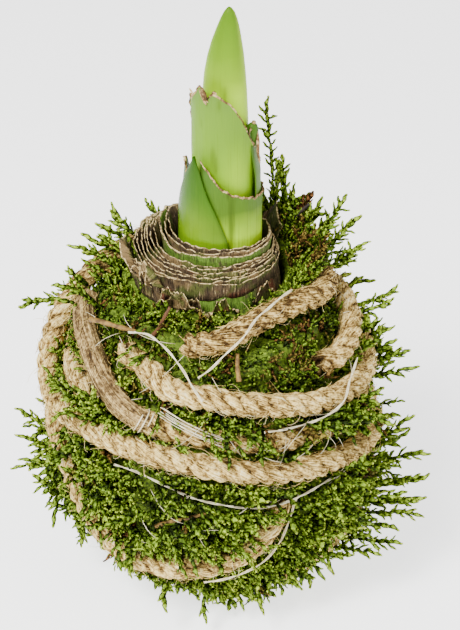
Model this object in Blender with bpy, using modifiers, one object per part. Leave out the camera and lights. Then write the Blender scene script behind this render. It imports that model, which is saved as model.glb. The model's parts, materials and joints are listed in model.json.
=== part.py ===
"""A sprouting amaryllis bulb in a ball of feather moss, bound with jute rope and fine thread.

Metres, +Z up. The origin is the middle of the small flat spot that the moss ball rests on.
The front, where the two small leaves part, looks along -Y.
"""

import math
import random

import bmesh
import bpy
from mathutils import Vector

MM = 0.001
GAP = 0.3 * MM
SIDES = 40

# The ball of moss: half its width, the height of its widest ring, its reach above and below that ring
BALL_HALF_WIDTH = 50.5 * MM
BALL_MIDDLE = 61.0 * MM
BALL_ABOVE = 60.0 * MM
BALL_BELOW = 66.0 * MM
BALL_SQUARENESS = 2.2
BALL_ROWS = 14
FLAT_SPOT = 18.0 * MM
MOUTH_RADIUS = 27.6 * MM
MOUTH_FLARE = 2.4 * MM
MOUTH_HEIGHT = 112.0 * MM
MOSS_LUMP = 0.8 * MM
MOSS_CUSHION = 4.0 * MM
CUSHION_NEAR = 6.0 * MM
CUSHION_FAR = 12.5 * MM
# The moss stands up behind the neck by so many mm, by degrees round the ball
COLLAR_RISE = [(-180, 0), (-20, 0), (5, 5), (25, 11), (65, 12), (100, 8), (130, 8), (160, 6), (180, 0)]
SHOOT_TRIES = 14
NEEDLE_COUNT = 120
NEEDLE_WIDTH = 1.6 * MM
FROND_COUNT = 60
FROND_THICKNESS = 0.8 * MM
FROND_ROOT = 1.6 * MM

# The bulb from its base plate up to its cut neck, as (radius, height) in mm
BULB_PROFILE = [
    (11.0, 10.2),
    (15.5, 11.0),
    (17.0, 14.5),
    (29.0, 20.0),
    (38.5, 31.0),
    (42.6, 46.0),
    (42.0, 61.0),
    (37.5, 76.0),
    (31.5, 88.0),
    (27.0, 97.0),
    (24.6, 106.0),
    (23.8, 115.0),
]
NECK_CENTRE = -1.2 * MM
NECK_RIM_RADIUS = 23.2 * MM
NECK_RIM_HEIGHT = 123.2 * MM
NECK_SCALES = 7
NECK_INNER_RISE = 7.6 * MM
SCALE_NOTCH = 2.6 * MM
SOCKET_CENTRE = 3.2 * MM
SOCKET_HALF_WIDTH = 14.7 * MM
SOCKET_HALF_DEPTH = 12.9 * MM
SOCKET_FLOOR = 112.0 * MM

# The leaves stand on the socket's floor
LEAF_FOOT = SOCKET_FLOOR + GAP
LEAF_THICKNESS = 0.9 * MM
SPROUT_CENTRE = 3.5 * MM
SPROUT_DEPTH = 0.86
MAIN_SHEATH_CENTRE = 3.8 * MM
SPEAR_TIP = 208.0 * MM
SPEAR_HALF_WIDTH = 7.5 * MM
SPEAR_HALF_DEPTH = 5.2 * MM

# The rope and the thread
ROPE_RADIUS = 4.0 * MM
ROPE_POINT_STEP = 15.0 * MM
THREAD_RADIUS = 0.45 * MM
THREAD_POINT_STEP = 7.0 * MM
BED_SPARE = 0.36 * MM

# Each route is (degrees round the ball, height in mm, lift of the middle of the rope off the moss in mm)
ROPE_OUTER_TURN = [
    (-103, 107, 0.6), (-94, 108.5, 2.8), (-81, 111, 4.3), (-61, 114, 4.4), (-35, 114, 4.4), (-10, 111, 4.4),
    (17, 109, 4.4), (45, 110, 4.4), (75, 112, 4.4), (105, 114, 4.4), (130, 116, 4.6), (148, 114, 5.2),
    (158, 109, 6.2), (166, 102, 7.4), (173, 93, 8.2), (179, 84, 8.2), (186, 77, 7.0), (197, 74, 5.6),
    (211, 75, 4.6), (229, 76, 4.6), (245, 76, 4.8), (259, 75, 5.4), (273, 73, 5.8), (287, 70, 5.8),
    (301, 68, 5.8), (314, 66, 5.8), (329, 63, 5.8), (345, 60, 5.4), (362, 59, 4.6), (385, 59, 4.3),
    (415, 60, 4.3), (445, 61, 4.3), (475, 62, 4.3), (505, 62, 4.3), (530, 62, 4.3), (550, 62, 4.3),
    (562, 59, 4.3), (570, 53, 4.3), (576, 44, 4.2), (582, 36, 4.0), (589, 30, 4.0), (598, 27, 4.0),
    (611, 27, 4.0), (624, 29, 4.0), (636, 33, 4.0), (646, 39, 3.4), (653, 46, 1.8), (657, 53, -0.4),
]
ROPE_FRONT_TURN = [
    (-131, 104, 4.5), (-124, 103, 4.4), (-116, 101, 4.4), (-107, 97, 4.4), (-98, 96, 4.4), (-89, 95, 4.4),
    (-79, 93, 4.4), (-65, 91, 4.6), (-51, 88, 4.6), (-38, 86, 4.6), (-23, 84, 4.4), (-8, 83, 4.3),
    (8, 86, 4.3), (25, 90, 4.3), (45, 93, 4.3), (70, 94, 4.3), (95, 94, 4.3), (120, 93, 4.0),
    (140, 91, 2.4), (156, 89, 0.6), (172, 87, -0.4), (186, 86, -0.2), (200, 86, 1.4), (211, 86, 2.0),
    (219, 85, 1.0),
]
ROPE_BACK_TURN = [
    (-38, 95, 0.6), (-26, 95, 3.2), (-11, 97, 4.3), (5, 99, 4.3), (22, 100, 4.3), (45, 101, 4.3),
    (70, 103, 3.0), (92, 104, 0.4),
]
ROPE_SIDE_RUN = [
    (-179, 107, 4.3), (-173, 104, 4.4), (-160, 102, 4.6), (-147, 99, 4.8), (-136, 94.5, 5.2),
    (-127, 90, 5.0), (-119, 86, 3.6), (-111, 83.5, 1.6), (-102, 81.5, 0.0), (-86, 79.5, -0.8),
    (-71, 77, -0.8), (-55, 75, -0.8), (-38, 73, -0.4), (-22, 71, 1.2), (-6, 70, 2.2), (12, 69.5, 1.4),
    (34, 69.5, -0.6),
]
SMOOTH_LENGTH = 56.0 * MM
ROPE_LOW_RUN = [
    (46, 44, 0.4), (30, 48, 3.0), (12, 50, 4.2), (-2, 48, 4.2), (-10, 43, 4.2), (-15, 36, 4.2),
    (-20, 29, 4.2), (-28, 22, 4.0), (-40, 17, 3.0), (-54, 14, 0.8),
]
THREAD_ROUTES = {
    "thread_over_top": [
        (-40, 120, 9.0), (-50, 119.6, 9.0), (-60, 118.4, 9.1), (-68, 117, 9.3), (-76, 113, 8.8),
        (-84, 108, 6.4), (-90, 104, 5.4), (-95, 102, 6.6),
    ],
    "thread_upper_left": [
        (-130, 110, 6.8), (-122, 110, 5.0), (-115, 109, 5.0), (-108, 107.5, 6.0), (-101, 104, 7.0),
        (-97, 101, 8.6), (-93, 97, 9.4),
    ],
    "thread_upper_right": [
        (-24, 94, 8.0), (-29, 92, 7.8), (-34, 90.5, 8.4), (-41, 87, 9.6), (-48, 84, 7.6), (-56, 82.5, 5.0),
        (-64, 82.5, 4.2), (-71, 83, 4.2),
    ],
    "thread_front": [
        (-124, 69, 6.6), (-116, 68, 5.2), (-106, 65, 4.8), (-96, 61, 4.6), (-84, 58, 4.8), (-74, 56, 5.0),
        (-64, 56, 5.2), (-55, 57, 5.2), (-46, 58, 5.4), (-39, 58, 6.8),
    ],
    "thread_low": [
        (-57, 54.6, 2.2), (-58, 50.6, 1.4), (-60, 45.5, 2.2), (-65, 39, 5.2), (-71, 33.5, 7.2),
        (-78, 29.5, 7.8),
        (-86, 26.5, 7.9), (-93, 24.5, 7.6),
    ],
}

# Dry bits caught in the moss: the route of each, its radius in mm and its finish
DEBRIS_ROUTES = {
    "dry_stalk_low": (
        [(-110, 46.8, 4.2), (-104, 50.6, 4.6), (-98, 53, 5.0), (-92, 56, 5.6)],
        0.7,
        "dry_stalk",
    ),
    "dry_stalk_stub": ([(-79, 100, 5.2), (-79, 103.2, 4.6), (-78, 106.4, 3.6)], 0.8, "dry_stalk"),
    "dry_root_curl": (
        [(-123, 107, 0.4), (-119, 111, 2.6), (-115, 116, 6.4), (-112, 119.6, 9.4)],
        0.7,
        "red_bract",
    ),
    "bark_strip_upper": (
        [(-150, 109.6, 9.6), (-142, 111, 9.4), (-135, 110.6, 7.4), (-129, 109.5, 4.6)],
        0.9,
        "dry_stalk",
    ),
    "dark_twig": ([(36, 117, 3.4), (34, 121, 7.0), (32, 126, 13.0), (29, 131, 20.0)], 0.9, "dark_twig"),
}


def principled(name, colour, roughness):
    """A plain material of one colour."""
    made = bpy.data.materials.new(name)
    made.use_nodes = True
    shader = made.node_tree.nodes["Principled BSDF"]
    shader.inputs["Base Color"].default_value = (*colour, 1.0)
    shader.inputs["Roughness"].default_value = roughness
    shader.inputs["Metallic"].default_value = 0.0
    return made


def object_from(name, bm, material, collection):
    """An object in the collection from a bmesh, which is freed."""
    bmesh.ops.recalc_face_normals(bm, faces=bm.faces)
    mesh = bpy.data.meshes.new(name)
    bm.to_mesh(mesh)
    bm.free()
    made = bpy.data.objects.new(name, mesh)
    collection.objects.link(made)
    if material:
        mesh.materials.append(material)
    return made


def loft(rings):
    """A closed bmesh through rings of the same number of points. A ring of one point is a pole."""
    bm = bmesh.new()
    rows = [[bm.verts.new(point) for point in ring] for ring in rings]
    for low, high in zip(rows, rows[1:]):
        count = max(len(low), len(high))
        for i in range(count):
            j = (i + 1) % count
            corners = [low[i % len(low)], low[j % len(low)], high[j % len(high)], high[i % len(high)]]
            bm.faces.new(list(dict.fromkeys(corners)))
    return bm


def ring(radius, height, centre_x=0.0, depth=None):
    """Points of an ellipse round the Z axis."""
    deep = radius if depth is None else depth
    turn = [math.tau * i / SIDES for i in range(SIDES)]
    return [Vector((centre_x + radius * math.cos(a), deep * math.sin(a), height)) for a in turn]


def blend(first, last, share):
    return first + (last - first) * share


# Bulb


def neck_ring(share, height, inward=0.0, wave=0.0, phase=0.0):
    """A ring between the neck's round rim, share 0, and the oval socket of the sprout, share 1."""
    centre = blend(NECK_CENTRE, SOCKET_CENTRE, share)
    wide = blend(NECK_RIM_RADIUS, SOCKET_HALF_WIDTH, share) - inward
    deep = blend(NECK_RIM_RADIUS, SOCKET_HALF_DEPTH, share) - inward
    points = ring(wide, height, centre, deep)
    for i, point in enumerate(points):
        a = math.tau * i / SIDES
        point.z += wave * (math.sin(2 * a + phase) + 0.7 * math.sin(5 * a + 2.3 * phase))
    return points


def bulb_rings():
    """The bulb from its base plate up the outside, over the cut scales and down into the socket."""
    rings = [[Vector((0, 0, BULB_PROFILE[0][1] * MM))]]
    for radius, height in BULB_PROFILE:
        share = max(0.0, (height - 90.0) / 33.0)
        rings.append(ring(radius * MM, height * MM, NECK_CENTRE * share))
    for i in range(NECK_SCALES):
        share = i / NECK_SCALES
        top = NECK_RIM_HEIGHT + NECK_INNER_RISE * share
        phase = 1.7 * i
        rings.append(neck_ring(share, top, 0.0, 0.35 * MM, phase))
        rings.append(neck_ring(share + 0.45 / NECK_SCALES, top - 0.1 * MM, 0.0, 0.35 * MM, phase))
        rings.append(neck_ring(share + 0.72 / NECK_SCALES, top - SCALE_NOTCH, 0.0, 0.1 * MM, phase))
    rings.append(neck_ring(1.0, NECK_RIM_HEIGHT + NECK_INNER_RISE, 0.0, 0.2 * MM, 1.0))
    rings.append(neck_ring(1.0, SOCKET_FLOOR, 0.0))
    rings.append([Vector((SOCKET_CENTRE, 0, SOCKET_FLOOR))])
    return rings


def bulb_radius_at(height):
    """The bulb's outer radius at a height on its shoulder or neck."""
    rows = [(z * MM, r * MM) for r, z in BULB_PROFILE] + [(NECK_RIM_HEIGHT, NECK_RIM_RADIUS)]
    for (low, wide), (high, narrow) in zip(rows, rows[1:]):
        if low <= height <= high:
            return blend(wide, narrow, (height - low) / (high - low))
    return rows[-1][1]


def neck_shift_at(height):
    return NECK_CENTRE * max(0.0, (height / MM - 90.0) / 33.0)


def clear_profile():
    """The bulb's profile in metres, moved outwards by a little more than the gap."""
    rows = [(BULB_PROFILE[0][0] - 1.0, BULB_PROFILE[0][1])] + BULB_PROFILE + [(23.2, 123.2)]
    clear = []
    for (r0, z0), (r, z), (r1, z1) in zip(rows, rows[1:], rows[2:]):
        length = math.hypot(r1 - r0, z1 - z0)
        out = 1.25 * GAP / length
        clear.append((r * MM + out * (z1 - z0), z * MM - out * (r1 - r0)))
    return clear


def outward_sheet(name, points, material, collection, thickness):
    """A sheet round the Z axis whose rows run with the azimuth, with its wall on the inner side."""
    bm = bmesh.new()
    rows = [[bm.verts.new(point) for point in row] for row in points]
    for low, high in zip(rows, rows[1:]):
        for a, b, c, d in zip(low, low[1:], high[1:], high):
            bm.faces.new((a, b, c, d))
    mesh = bpy.data.meshes.new(name)
    bm.to_mesh(mesh)
    bm.free()
    made = bpy.data.objects.new(name, mesh)
    mesh.materials.append(material)
    collection.objects.link(made)
    wall = made.modifiers.new("wall", "SOLIDIFY")
    wall.thickness = thickness
    wall.offset = -1.0
    return made


def skin_flake(name, start, stop, foot, top, lift, material, collection):
    """A dry flake of outer skin that stands a little off the bulb's neck, with a ragged top."""
    columns, rows = 9, 5
    thickness = 0.7 * MM
    points = []
    for j in range(rows + 1):
        row = []
        for i in range(columns + 1):
            across = i / columns
            a = math.radians(blend(start, stop, across))
            ragged = 1.2 * math.sin(9.0 * across + start) + 0.8 * math.sin(21.0 * across + 2 * start)
            edge = 4.0 * (2 * across - 1) ** 2
            height = blend(foot, top + ragged - edge, j / rows) * MM
            bow = 1.4 * (j / rows) ** 2 * lift
            radius = bulb_radius_at(height) / math.cos(math.pi / SIDES) + GAP + thickness + bow * MM
            shift = neck_shift_at(height)
            row.append(Vector((shift + radius * math.cos(a), radius * math.sin(a), height)))
        points.append(row)
    return outward_sheet(name, points, material, collection, thickness)


# Leaves


def spear_rings():
    """The tall pointed leaf, folded to a lens, from its foot to its rounded tip."""
    rings = [[Vector((4.6 * MM, 0.8 * MM, LEAF_FOOT))]]
    heights = [0.0, 0.35, 0.52, 0.62, 0.70, 0.77, 0.83, 0.88, 0.925, 0.96, 0.985]
    for share in heights:
        height = blend(LEAF_FOOT, SPEAR_TIP, share)
        above = max(0.0, (share - 0.55) / 0.45)
        narrow = (1.0 - above**2.1) ** 0.82
        lean = (4.6 + 0.4 * above + 1.4 * above**3) * MM
        points = []
        for i in range(14):
            a = math.tau * i / 14
            x = SPEAR_HALF_WIDTH * narrow * math.cos(a)
            y = SPEAR_HALF_DEPTH * narrow * math.sin(a) * (0.82 + 0.18 * abs(math.sin(a)))
            points.append(Vector((lean + x, 0.8 * MM + y, height)))
        rings.append(points)
    rings.append([Vector((6.4 * MM, 0.8 * MM, SPEAR_TIP))])
    return rings


def on_outline(points, at):
    """The value at a place along a line of (place, value) points."""
    for (a, low), (b, high) in zip(points, points[1:]):
        if at <= b:
            return blend(low, high, max(0.0, at - a) / (b - a))
    return points[-1][1]


def sheath(name, span, rim, reach, centre_x, material, collection):
    """A leaf base round the sprout: span in degrees, rim as (degrees, mm), reach as (mm height, mm)."""
    columns, rows = 12, 8
    points = []
    for j in range(rows + 1):
        row = []
        for i in range(columns + 1):
            degrees = blend(span[0], span[1], i / columns)
            height = blend(LEAF_FOOT, on_outline(rim, degrees) * MM, j / rows)
            radius = on_outline(reach, height / MM) * MM
            a = math.radians(degrees)
            x = centre_x + radius * math.cos(a)
            row.append(Vector((x, SPROUT_DEPTH * radius * math.sin(a), height)))
        points.append(row)
    return outward_sheet(name, points, material, collection, LEAF_THICKNESS)


def add_leaves(leaf, pale, collection):
    """The spear and the five cut or pointed leaf bases round it, each standing in the socket."""
    object_from("leaf_tall", loft(spear_rings()), leaf, collection)
    main_rim = [
        (-196, 169), (-180, 178.5), (-170, 179.5), (-160, 179), (-145, 183.5), (-131, 183.2), (-124, 180.5),
        (-112, 182.8), (-95, 181), (-75, 177.5), (-55, 172), (-35, 164), (-10, 158), (20, 156), (60, 158),
        (110, 163), (164, 169),
    ]
    right_rim = [(-36, 150), (-30, 152), (-20, 160), (-8, 167.5), (4, 169), (20, 163), (45, 154), (75, 150)]
    left_rim = [(128, 146), (150, 152), (165, 156), (182, 157.5), (196, 155.5), (214, 150)]
    front_rim = [
        (-126, 156.4), (-118, 154), (-105, 152), (-92, 150), (-76, 148.4), (-58, 147), (-34, 146.4),
        (-6, 146), (24, 147),
    ]
    sheath(
        "leaf_main_sheath", (-194, 162), main_rim, [(112, 10.2), (180, 10.3)],
        MAIN_SHEATH_CENTRE, pale, collection,
    )
    sheath(
        "leaf_right_sheath", (-34, 74), right_rim, [(112, 11.9), (148, 11.9), (154, 13.1), (170, 12.9)],
        SPROUT_CENTRE, leaf, collection,
    )
    sheath(
        "leaf_left_sheath", (130, 212), left_rim, [(112, 12.9), (148, 12.9), (158, 11.9)],
        SPROUT_CENTRE, leaf, collection,
    )
    sheath(
        "leaf_front_sheath", (-122, 22), front_rim, [(112, 13.1), (160, 13.1)],
        SPROUT_CENTRE, leaf, collection,
    )
    add_pointed_leaf(leaf, collection)


def add_pointed_leaf(material, collection):
    """The small leaf at the front left, wide at its foot and drawn to a point."""
    columns, rows = 10, 10
    points = []
    for j in range(rows + 1):
        height = blend(LEAF_FOOT / MM, 160.0, j / rows)
        above = max(0.0, (height - 128.0) / 32.0)
        narrow = max(0.0, 1.0 - above**1.7) ** 0.9
        middle = blend(-143.0, -136.0, above)
        half = 60.0 * narrow + 2.5
        radius = blend(14.6, 14.3, above) * MM
        row = []
        for i in range(columns + 1):
            a = math.radians(middle + half * (2 * i / columns - 1))
            x = SPROUT_CENTRE + radius * math.cos(a)
            row.append(Vector((x, SPROUT_DEPTH * radius * math.sin(a), height * MM)))
        points.append(row)
    return outward_sheet("leaf_left_pointed", points, material, collection, LEAF_THICKNESS)


# Moss, rope and thread


def ball_radius(height, lift=0.0):
    """The radius of the moss ball's smooth form at a height, with its whole surface lifted."""
    reach = (BALL_ABOVE if height > BALL_MIDDLE else BALL_BELOW) + lift
    share = min(1.0, abs(height - BALL_MIDDLE) / reach)
    return (BALL_HALF_WIDTH + lift) * (1.0 - share**BALL_SQUARENESS) ** (1.0 / BALL_SQUARENESS)


def on_ball(degrees, height, lift):
    """A point at an azimuth and a height, on the ball's form lifted all round."""
    a = math.radians(degrees)
    radius = ball_radius(height, lift)
    return Vector((radius * math.cos(a), radius * math.sin(a), height))


def ball_normal(point):
    """The outward direction of the ball's form near a point."""
    height = point.z
    step = 0.5 * MM
    slope = (ball_radius(height + step) - ball_radius(height - step)) / (2 * step)
    flat = Vector((point.x, point.y, 0.0)).normalized()
    return (flat - Vector((0.0, 0.0, slope))).normalized()


def smooth_route(route, step):
    """Evenly spaced points of a smooth curve through a route's own points."""
    knots = [on_ball(a, z * MM, lift * MM) for a, z, lift in route]
    knots = [2 * knots[0] - knots[1]] + knots + [2 * knots[-1] - knots[-2]]
    fine = []
    for before, start, stop, after in zip(knots, knots[1:], knots[2:], knots[3:]):
        for i in range(16):
            t = i / 16
            fine.append(
                0.5
                * (
                    2 * start
                    + (stop - before) * t
                    + (2 * before - 5 * start + 4 * stop - after) * t**2
                    + (3 * start - before - 3 * stop + after) * t**3
                )
            )
    fine.append(knots[-2])
    lengths = [0.0]
    for a, b in zip(fine, fine[1:]):
        lengths.append(lengths[-1] + (b - a).length)
    count = max(2, round(lengths[-1] / step))
    made = []
    at = 0
    for i in range(count + 1):
        want = lengths[-1] * i / count
        while at < len(fine) - 2 and lengths[at + 1] < want:
            at += 1
        share = (want - lengths[at]) / max(1e-9, lengths[at + 1] - lengths[at])
        made.append(fine[at].lerp(fine[at + 1], min(1.0, share)))
    return made


def rope_lines():
    """Each rope's points. The side run is cut square where its smooth stretch ends."""
    lines = {
        "rope_outer_turn": smooth_route(ROPE_OUTER_TURN, ROPE_POINT_STEP),
        "rope_front_turn": smooth_route(ROPE_FRONT_TURN, ROPE_POINT_STEP),
        "rope_back_turn": smooth_route(ROPE_BACK_TURN, ROPE_POINT_STEP),
        "rope_low_run": smooth_route(ROPE_LOW_RUN, ROPE_POINT_STEP),
    }
    side = smooth_route(ROPE_SIDE_RUN, ROPE_POINT_STEP)
    cut = round(SMOOTH_LENGTH / ROPE_POINT_STEP)
    ahead = (side[cut + 1] - side[cut - 1]).normalized()
    middle = side[cut]
    square = 3.0 * MM
    lines["rope_smooth_stretch"] = side[:cut] + [middle - ahead * square, middle - ahead * GAP * 0.5]
    lines["rope_side_run"] = [middle + ahead * GAP * 0.5, middle + ahead * square] + side[cut + 1 :]
    return lines


def tube(name, points, radius, material, collection):
    """A round tube along points, with filled ends."""
    curve = bpy.data.curves.new(name, "CURVE")
    curve.dimensions = "3D"
    curve.bevel_depth = radius
    curve.bevel_resolution = 2
    curve.use_fill_caps = True
    line = curve.splines.new("POLY")
    line.points.add(len(points) - 1)
    for target, point in zip(line.points, points):
        target.co = (*point, 1.0)
    made = bpy.data.objects.new(name, curve)
    collection.objects.link(made)
    if material:
        curve.materials.append(material)
    return made


def as_mesh(made, collection):
    """The object's evaluated shape as a welded mesh object, which takes its name and place."""
    graph = bpy.context.evaluated_depsgraph_get()
    mesh = bpy.data.meshes.new_from_object(made.evaluated_get(graph))
    bm = bmesh.new()
    bm.from_mesh(mesh)
    bmesh.ops.remove_doubles(bm, verts=bm.verts, dist=1e-6)
    bmesh.ops.recalc_face_normals(bm, faces=bm.faces)
    bm.to_mesh(mesh)
    bm.free()
    name = made.name
    matrix = made.matrix_world.copy()
    bpy.data.objects.remove(made, do_unlink=True)
    solid = bpy.data.objects.new(name, mesh)
    solid.matrix_world = matrix
    collection.objects.link(solid)
    return solid


def moss_swell(point, near_rope):
    """How far the moss stands up between the turns of rope, at a point of the ball's form."""
    nearest = min((point - place).length for line in near_rope for place in line)
    rise = min(1.0, max(0.0, (nearest - CUSHION_NEAR) / (CUSHION_FAR - CUSHION_NEAR)))
    low = min(1.0, max(0.0, (point.z - 3 * MM) / (14 * MM)))
    high = min(1.0, max(0.0, (MOUTH_HEIGHT + 2 * MM - point.z) / (8 * MM)))
    return MOSS_CUSHION * rise * rise * (3 - 2 * rise) * low * high


def collar_ring(radius, height, spread, share):
    """A ring at the mouth that rises, and spreads, with the collar of moss behind the neck."""
    points = ring(radius, height)
    highest = max(rise for _, rise in COLLAR_RISE)
    for point in points:
        rise = on_outline(COLLAR_RISE, math.degrees(math.atan2(point.y, point.x)))
        wider = 1.0 + spread * rise / highest / radius
        point.x *= wider
        point.y *= wider
        point.z += share * rise * MM
    return points


def moss_rings(near_rope):
    """The moss wrap: its flat spot, its outside up to the mouth, and its inside along the bulb."""
    rings = [[Vector((0, 0, 0))], ring(FLAT_SPOT * 0.6, 0.0), ring(FLAT_SPOT, 0.0)]
    mouth = MOUTH_HEIGHT
    for j in range(1, BALL_ROWS + 1):
        turn = j / BALL_ROWS
        height = BALL_MIDDLE - BALL_BELOW * 0.985 * math.cos(math.pi * 0.5 * min(1.0, 2 * turn))
        if turn > 0.5:
            height = BALL_MIDDLE + (mouth - BALL_MIDDLE) * math.sin(math.pi * 0.5 * (2 * turn - 1))
        row = ring(ball_radius(height), max(height, 0.8 * MM))
        for i, point in enumerate(row):
            a = math.tau * i / SIDES
            lump = math.sin(3 * a + 7.0 * turn) * math.sin(5 * a - 11.0 * turn)
            lump += 0.5 * math.sin(8 * a + 23.0 * turn)
            lift = MOSS_LUMP * lump * math.sin(math.pi * turn) + moss_swell(point, near_rope)
            point += ball_normal(point) * lift
        rings.append(row)
    rings.append(collar_ring(MOUTH_RADIUS + MOUTH_FLARE * 0.5, mouth + 0.3 * MM, MOUTH_FLARE, 0.6))
    rings.append(collar_ring(MOUTH_RADIUS, mouth + 0.6 * MM, MOUTH_FLARE * 0.3, 1.0))
    rings.append(collar_ring(MOUTH_RADIUS - MOUTH_FLARE * 0.4, mouth - 1.5 * MM, 0.0, 0.8))
    inside = clear_profile()
    for radius, height in reversed(inside[:-1]):
        rings.append(ring(radius, height, neck_shift_at(height)))
    rings.append([Vector((0, 0, inside[0][1]))])
    return rings


def frond_blade(root, tip, width, side):
    """A flat feather outline from root to tip, with barbs cut in both edges, as a thin closed plate."""
    along = tip - root
    length = along.length
    ahead = along.normalized()
    across = ahead.cross(side).normalized()
    thick = across.cross(ahead) * FROND_THICKNESS * 0.5
    right, left = [], []
    barbs = 3 if length < 16 * MM else 4
    for i in range(barbs):
        start = (i + 0.35) / (barbs + 0.6)
        reach = width * (1.0 - 0.55 * start)
        out = min(0.96, start + 0.55 / barbs)
        right.append((start, 0.5 * MM))
        right.append((out, reach))
        left.append((start, -0.5 * MM))
        left.append((min(0.97, out + 0.02), -reach))
    sunk = -FROND_ROOT / length
    outline = [(sunk, 0.55 * MM), *right, (1.0, 0.0), *reversed(left), (sunk, -0.55 * MM)]
    bm = bmesh.new()
    sides = []
    for sign in (1, -1):
        sides.append([bm.verts.new(root + ahead * length * s + across * w + thick * sign) for s, w in outline])
    spine = len(outline) // 2
    for j, row in enumerate(sides):
        for i in range(spine):
            quad = [row[i], row[i + 1], row[-2 - i], row[-1 - i]]
            quad = list(dict.fromkeys(quad))
            bm.faces.new(quad if j == 0 else quad[::-1])
    count = len(outline)
    for i in range(count):
        k = (i + 1) % count
        bm.faces.new((sides[0][k], sides[0][i], sides[1][i], sides[1][k]))
    bmesh.ops.triangulate(bm, faces=bm.faces)
    return bm


def needle(root, tip, width):
    """A slim three-sided shoot from root to tip."""
    along = tip - root
    bm = bmesh.new()
    bmesh.ops.create_cone(
        bm, cap_ends=True, segments=3, radius1=width * 0.5, radius2=0.25 * MM, depth=along.length
    )
    turn = Vector((0, 0, 1)).rotation_difference(along)
    bmesh.ops.rotate(bm, verts=bm.verts, cent=(0, 0, 0), matrix=turn.to_matrix())
    bmesh.ops.translate(bm, verts=bm.verts, vec=(root + tip) * 0.5)
    return bm


# Long shoots seen against the light: (degrees, height) of the root, then the tip in mm
LONG_SHOOTS = [
    ((38, 110), (18, 22, 168)),
    ((30, 109), (31, 16, 146)),
    ((20, 106), (47, 8, 145)),
    ((14, 103), (50, 6, 137)),
    ((158, 108), (-46, 8, 127)),
    ((140, 109), (-34, 22, 132)),
    ((176, 98), (-71, 0, 108)),
    ((-172, 66), (-66, -14, 68)),
    ((-165, 52), (-63, -18, 54)),
    ((-158, 44), (-58, -25, 33)),
    ((-6, 92), (63, -6, 112)),
    ((-10, 75), (69, -14, 86)),
    ((-12, 52), (74, -16, 57)),
    ((-16, 40), (73, -22, 38)),
    ((-22, 26), (66, -28, 16)),
    ((-96, 16), (-12, -52, 3)),
    ((-112, 18), (-24, -50, 6)),
    ((100, 60), (-12, 66, 66)),
    ((60, 40), (34, 58, 38)),
    ((140, 36), (-50, 44, 30)),
]


def clear_of(points, lines, distance):
    return all((p - q).length > distance for line in lines for q in line for p in points)


def shoot_samples(root, tip):
    return [root.lerp(tip, s) for s in (0.12, 0.35, 0.55, 0.75, 0.9, 1.0)]


def moss_shoots(near_rope):
    """Shoots all over the ball, clear of the ropes and threads: bmeshes of fronds and of plain needles."""
    draw = random.Random(11)
    near_thread = [smooth_route(route, 2.0 * MM) for route in THREAD_ROUTES.values()]
    near_thread += [smooth_route(route, 2.0 * MM) for route, _, _ in DEBRIS_ROUTES.values()]
    made = []

    def fits(root, tip, spare):
        samples = shoot_samples(root, tip)
        low = min(p.z for p in samples)
        neck = min(math.hypot(p.x, p.y) for p in samples if p.z > 100 * MM) if tip.z > 100 * MM else 1.0
        return (
            low > 1.6 * MM
            and neck > 25.6 * MM + 1.7 * spare
            and clear_of(samples, near_rope, ROPE_RADIUS + spare)
            and clear_of(samples, near_thread, THREAD_RADIUS + spare)
        )

    for (degrees, height), tip in LONG_SHOOTS:
        root = on_ball(degrees, height * MM, -1.2 * MM)
        end = Vector(tip) * MM
        made.append(frond_blade(root, end, 3.6 * MM, ball_normal(root).cross(Vector((0.3, 0.2, 1.0)))))
    wanted = FROND_COUNT + NEEDLE_COUNT
    golden = math.pi * (3.0 - math.sqrt(5.0))
    for i in range(wanted):
        share = (i + 0.5) / wanted
        height = blend(7.0, 110.0, share) * MM
        degrees = math.degrees(golden * i)
        frond = i % (wanted // FROND_COUNT) == 0
        for attempt in range(SHOOT_TRIES):
            root = on_ball(degrees + draw.uniform(-5, 5), height + draw.uniform(-1.5, 1.5) * MM, -1.0 * MM)
            out = ball_normal(root)
            root += out * moss_swell(root, near_rope)
            tilt = Vector((draw.uniform(-1, 1), draw.uniform(-1, 1), draw.uniform(-0.9, 0.5)))
            ahead = (out + 0.7 * tilt).normalized()
            if ahead.dot(out) < 0.45:
                continue
            length = (draw.uniform(10, 13) if frond else draw.uniform(6.5, 10.5)) * MM
            tip = root + ahead * length
            if not fits(root, tip, (1.9 if frond else 1.1) * MM):
                continue
            if frond:
                made.append(frond_blade(root, tip, draw.uniform(2.6, 3.4) * MM, out.cross(ahead + tilt)))
            else:
                made.append(needle(root - ahead * 1.2 * MM, tip, NEEDLE_WIDTH))
            break
    return made


def apply_boolean(target, operation, operand):
    """Joins or cuts by every object of a collection, and makes the result the target's own mesh."""
    step = target.modifiers.new(operation.lower(), "BOOLEAN")
    step.operation = operation
    step.operand_type = "COLLECTION"
    step.collection = operand
    step.solver = "MANIFOLD"
    graph = bpy.context.evaluated_depsgraph_get()
    mesh = bpy.data.meshes.new_from_object(target.evaluated_get(graph))
    target.modifiers.clear()
    target.data = mesh
    for made in list(operand.objects):
        bpy.data.objects.remove(made, do_unlink=True)


def keep_largest(target):
    """Drops loose scraps that a cut left beside the main body."""
    bm = bmesh.new()
    bm.from_mesh(target.data)
    left = set(bm.verts)
    groups = []
    while left:
        stack = [left.pop()]
        group = set(stack)
        while stack:
            for edge in stack.pop().link_edges:
                for vert in edge.verts:
                    if vert in left:
                        left.remove(vert)
                        group.add(vert)
                        stack.append(vert)
        groups.append(group)
    groups.sort(key=len)
    for group in groups[:-1]:
        bmesh.ops.delete(bm, geom=list(group), context="VERTS")
    bm.to_mesh(target.data)
    bm.free()


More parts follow.
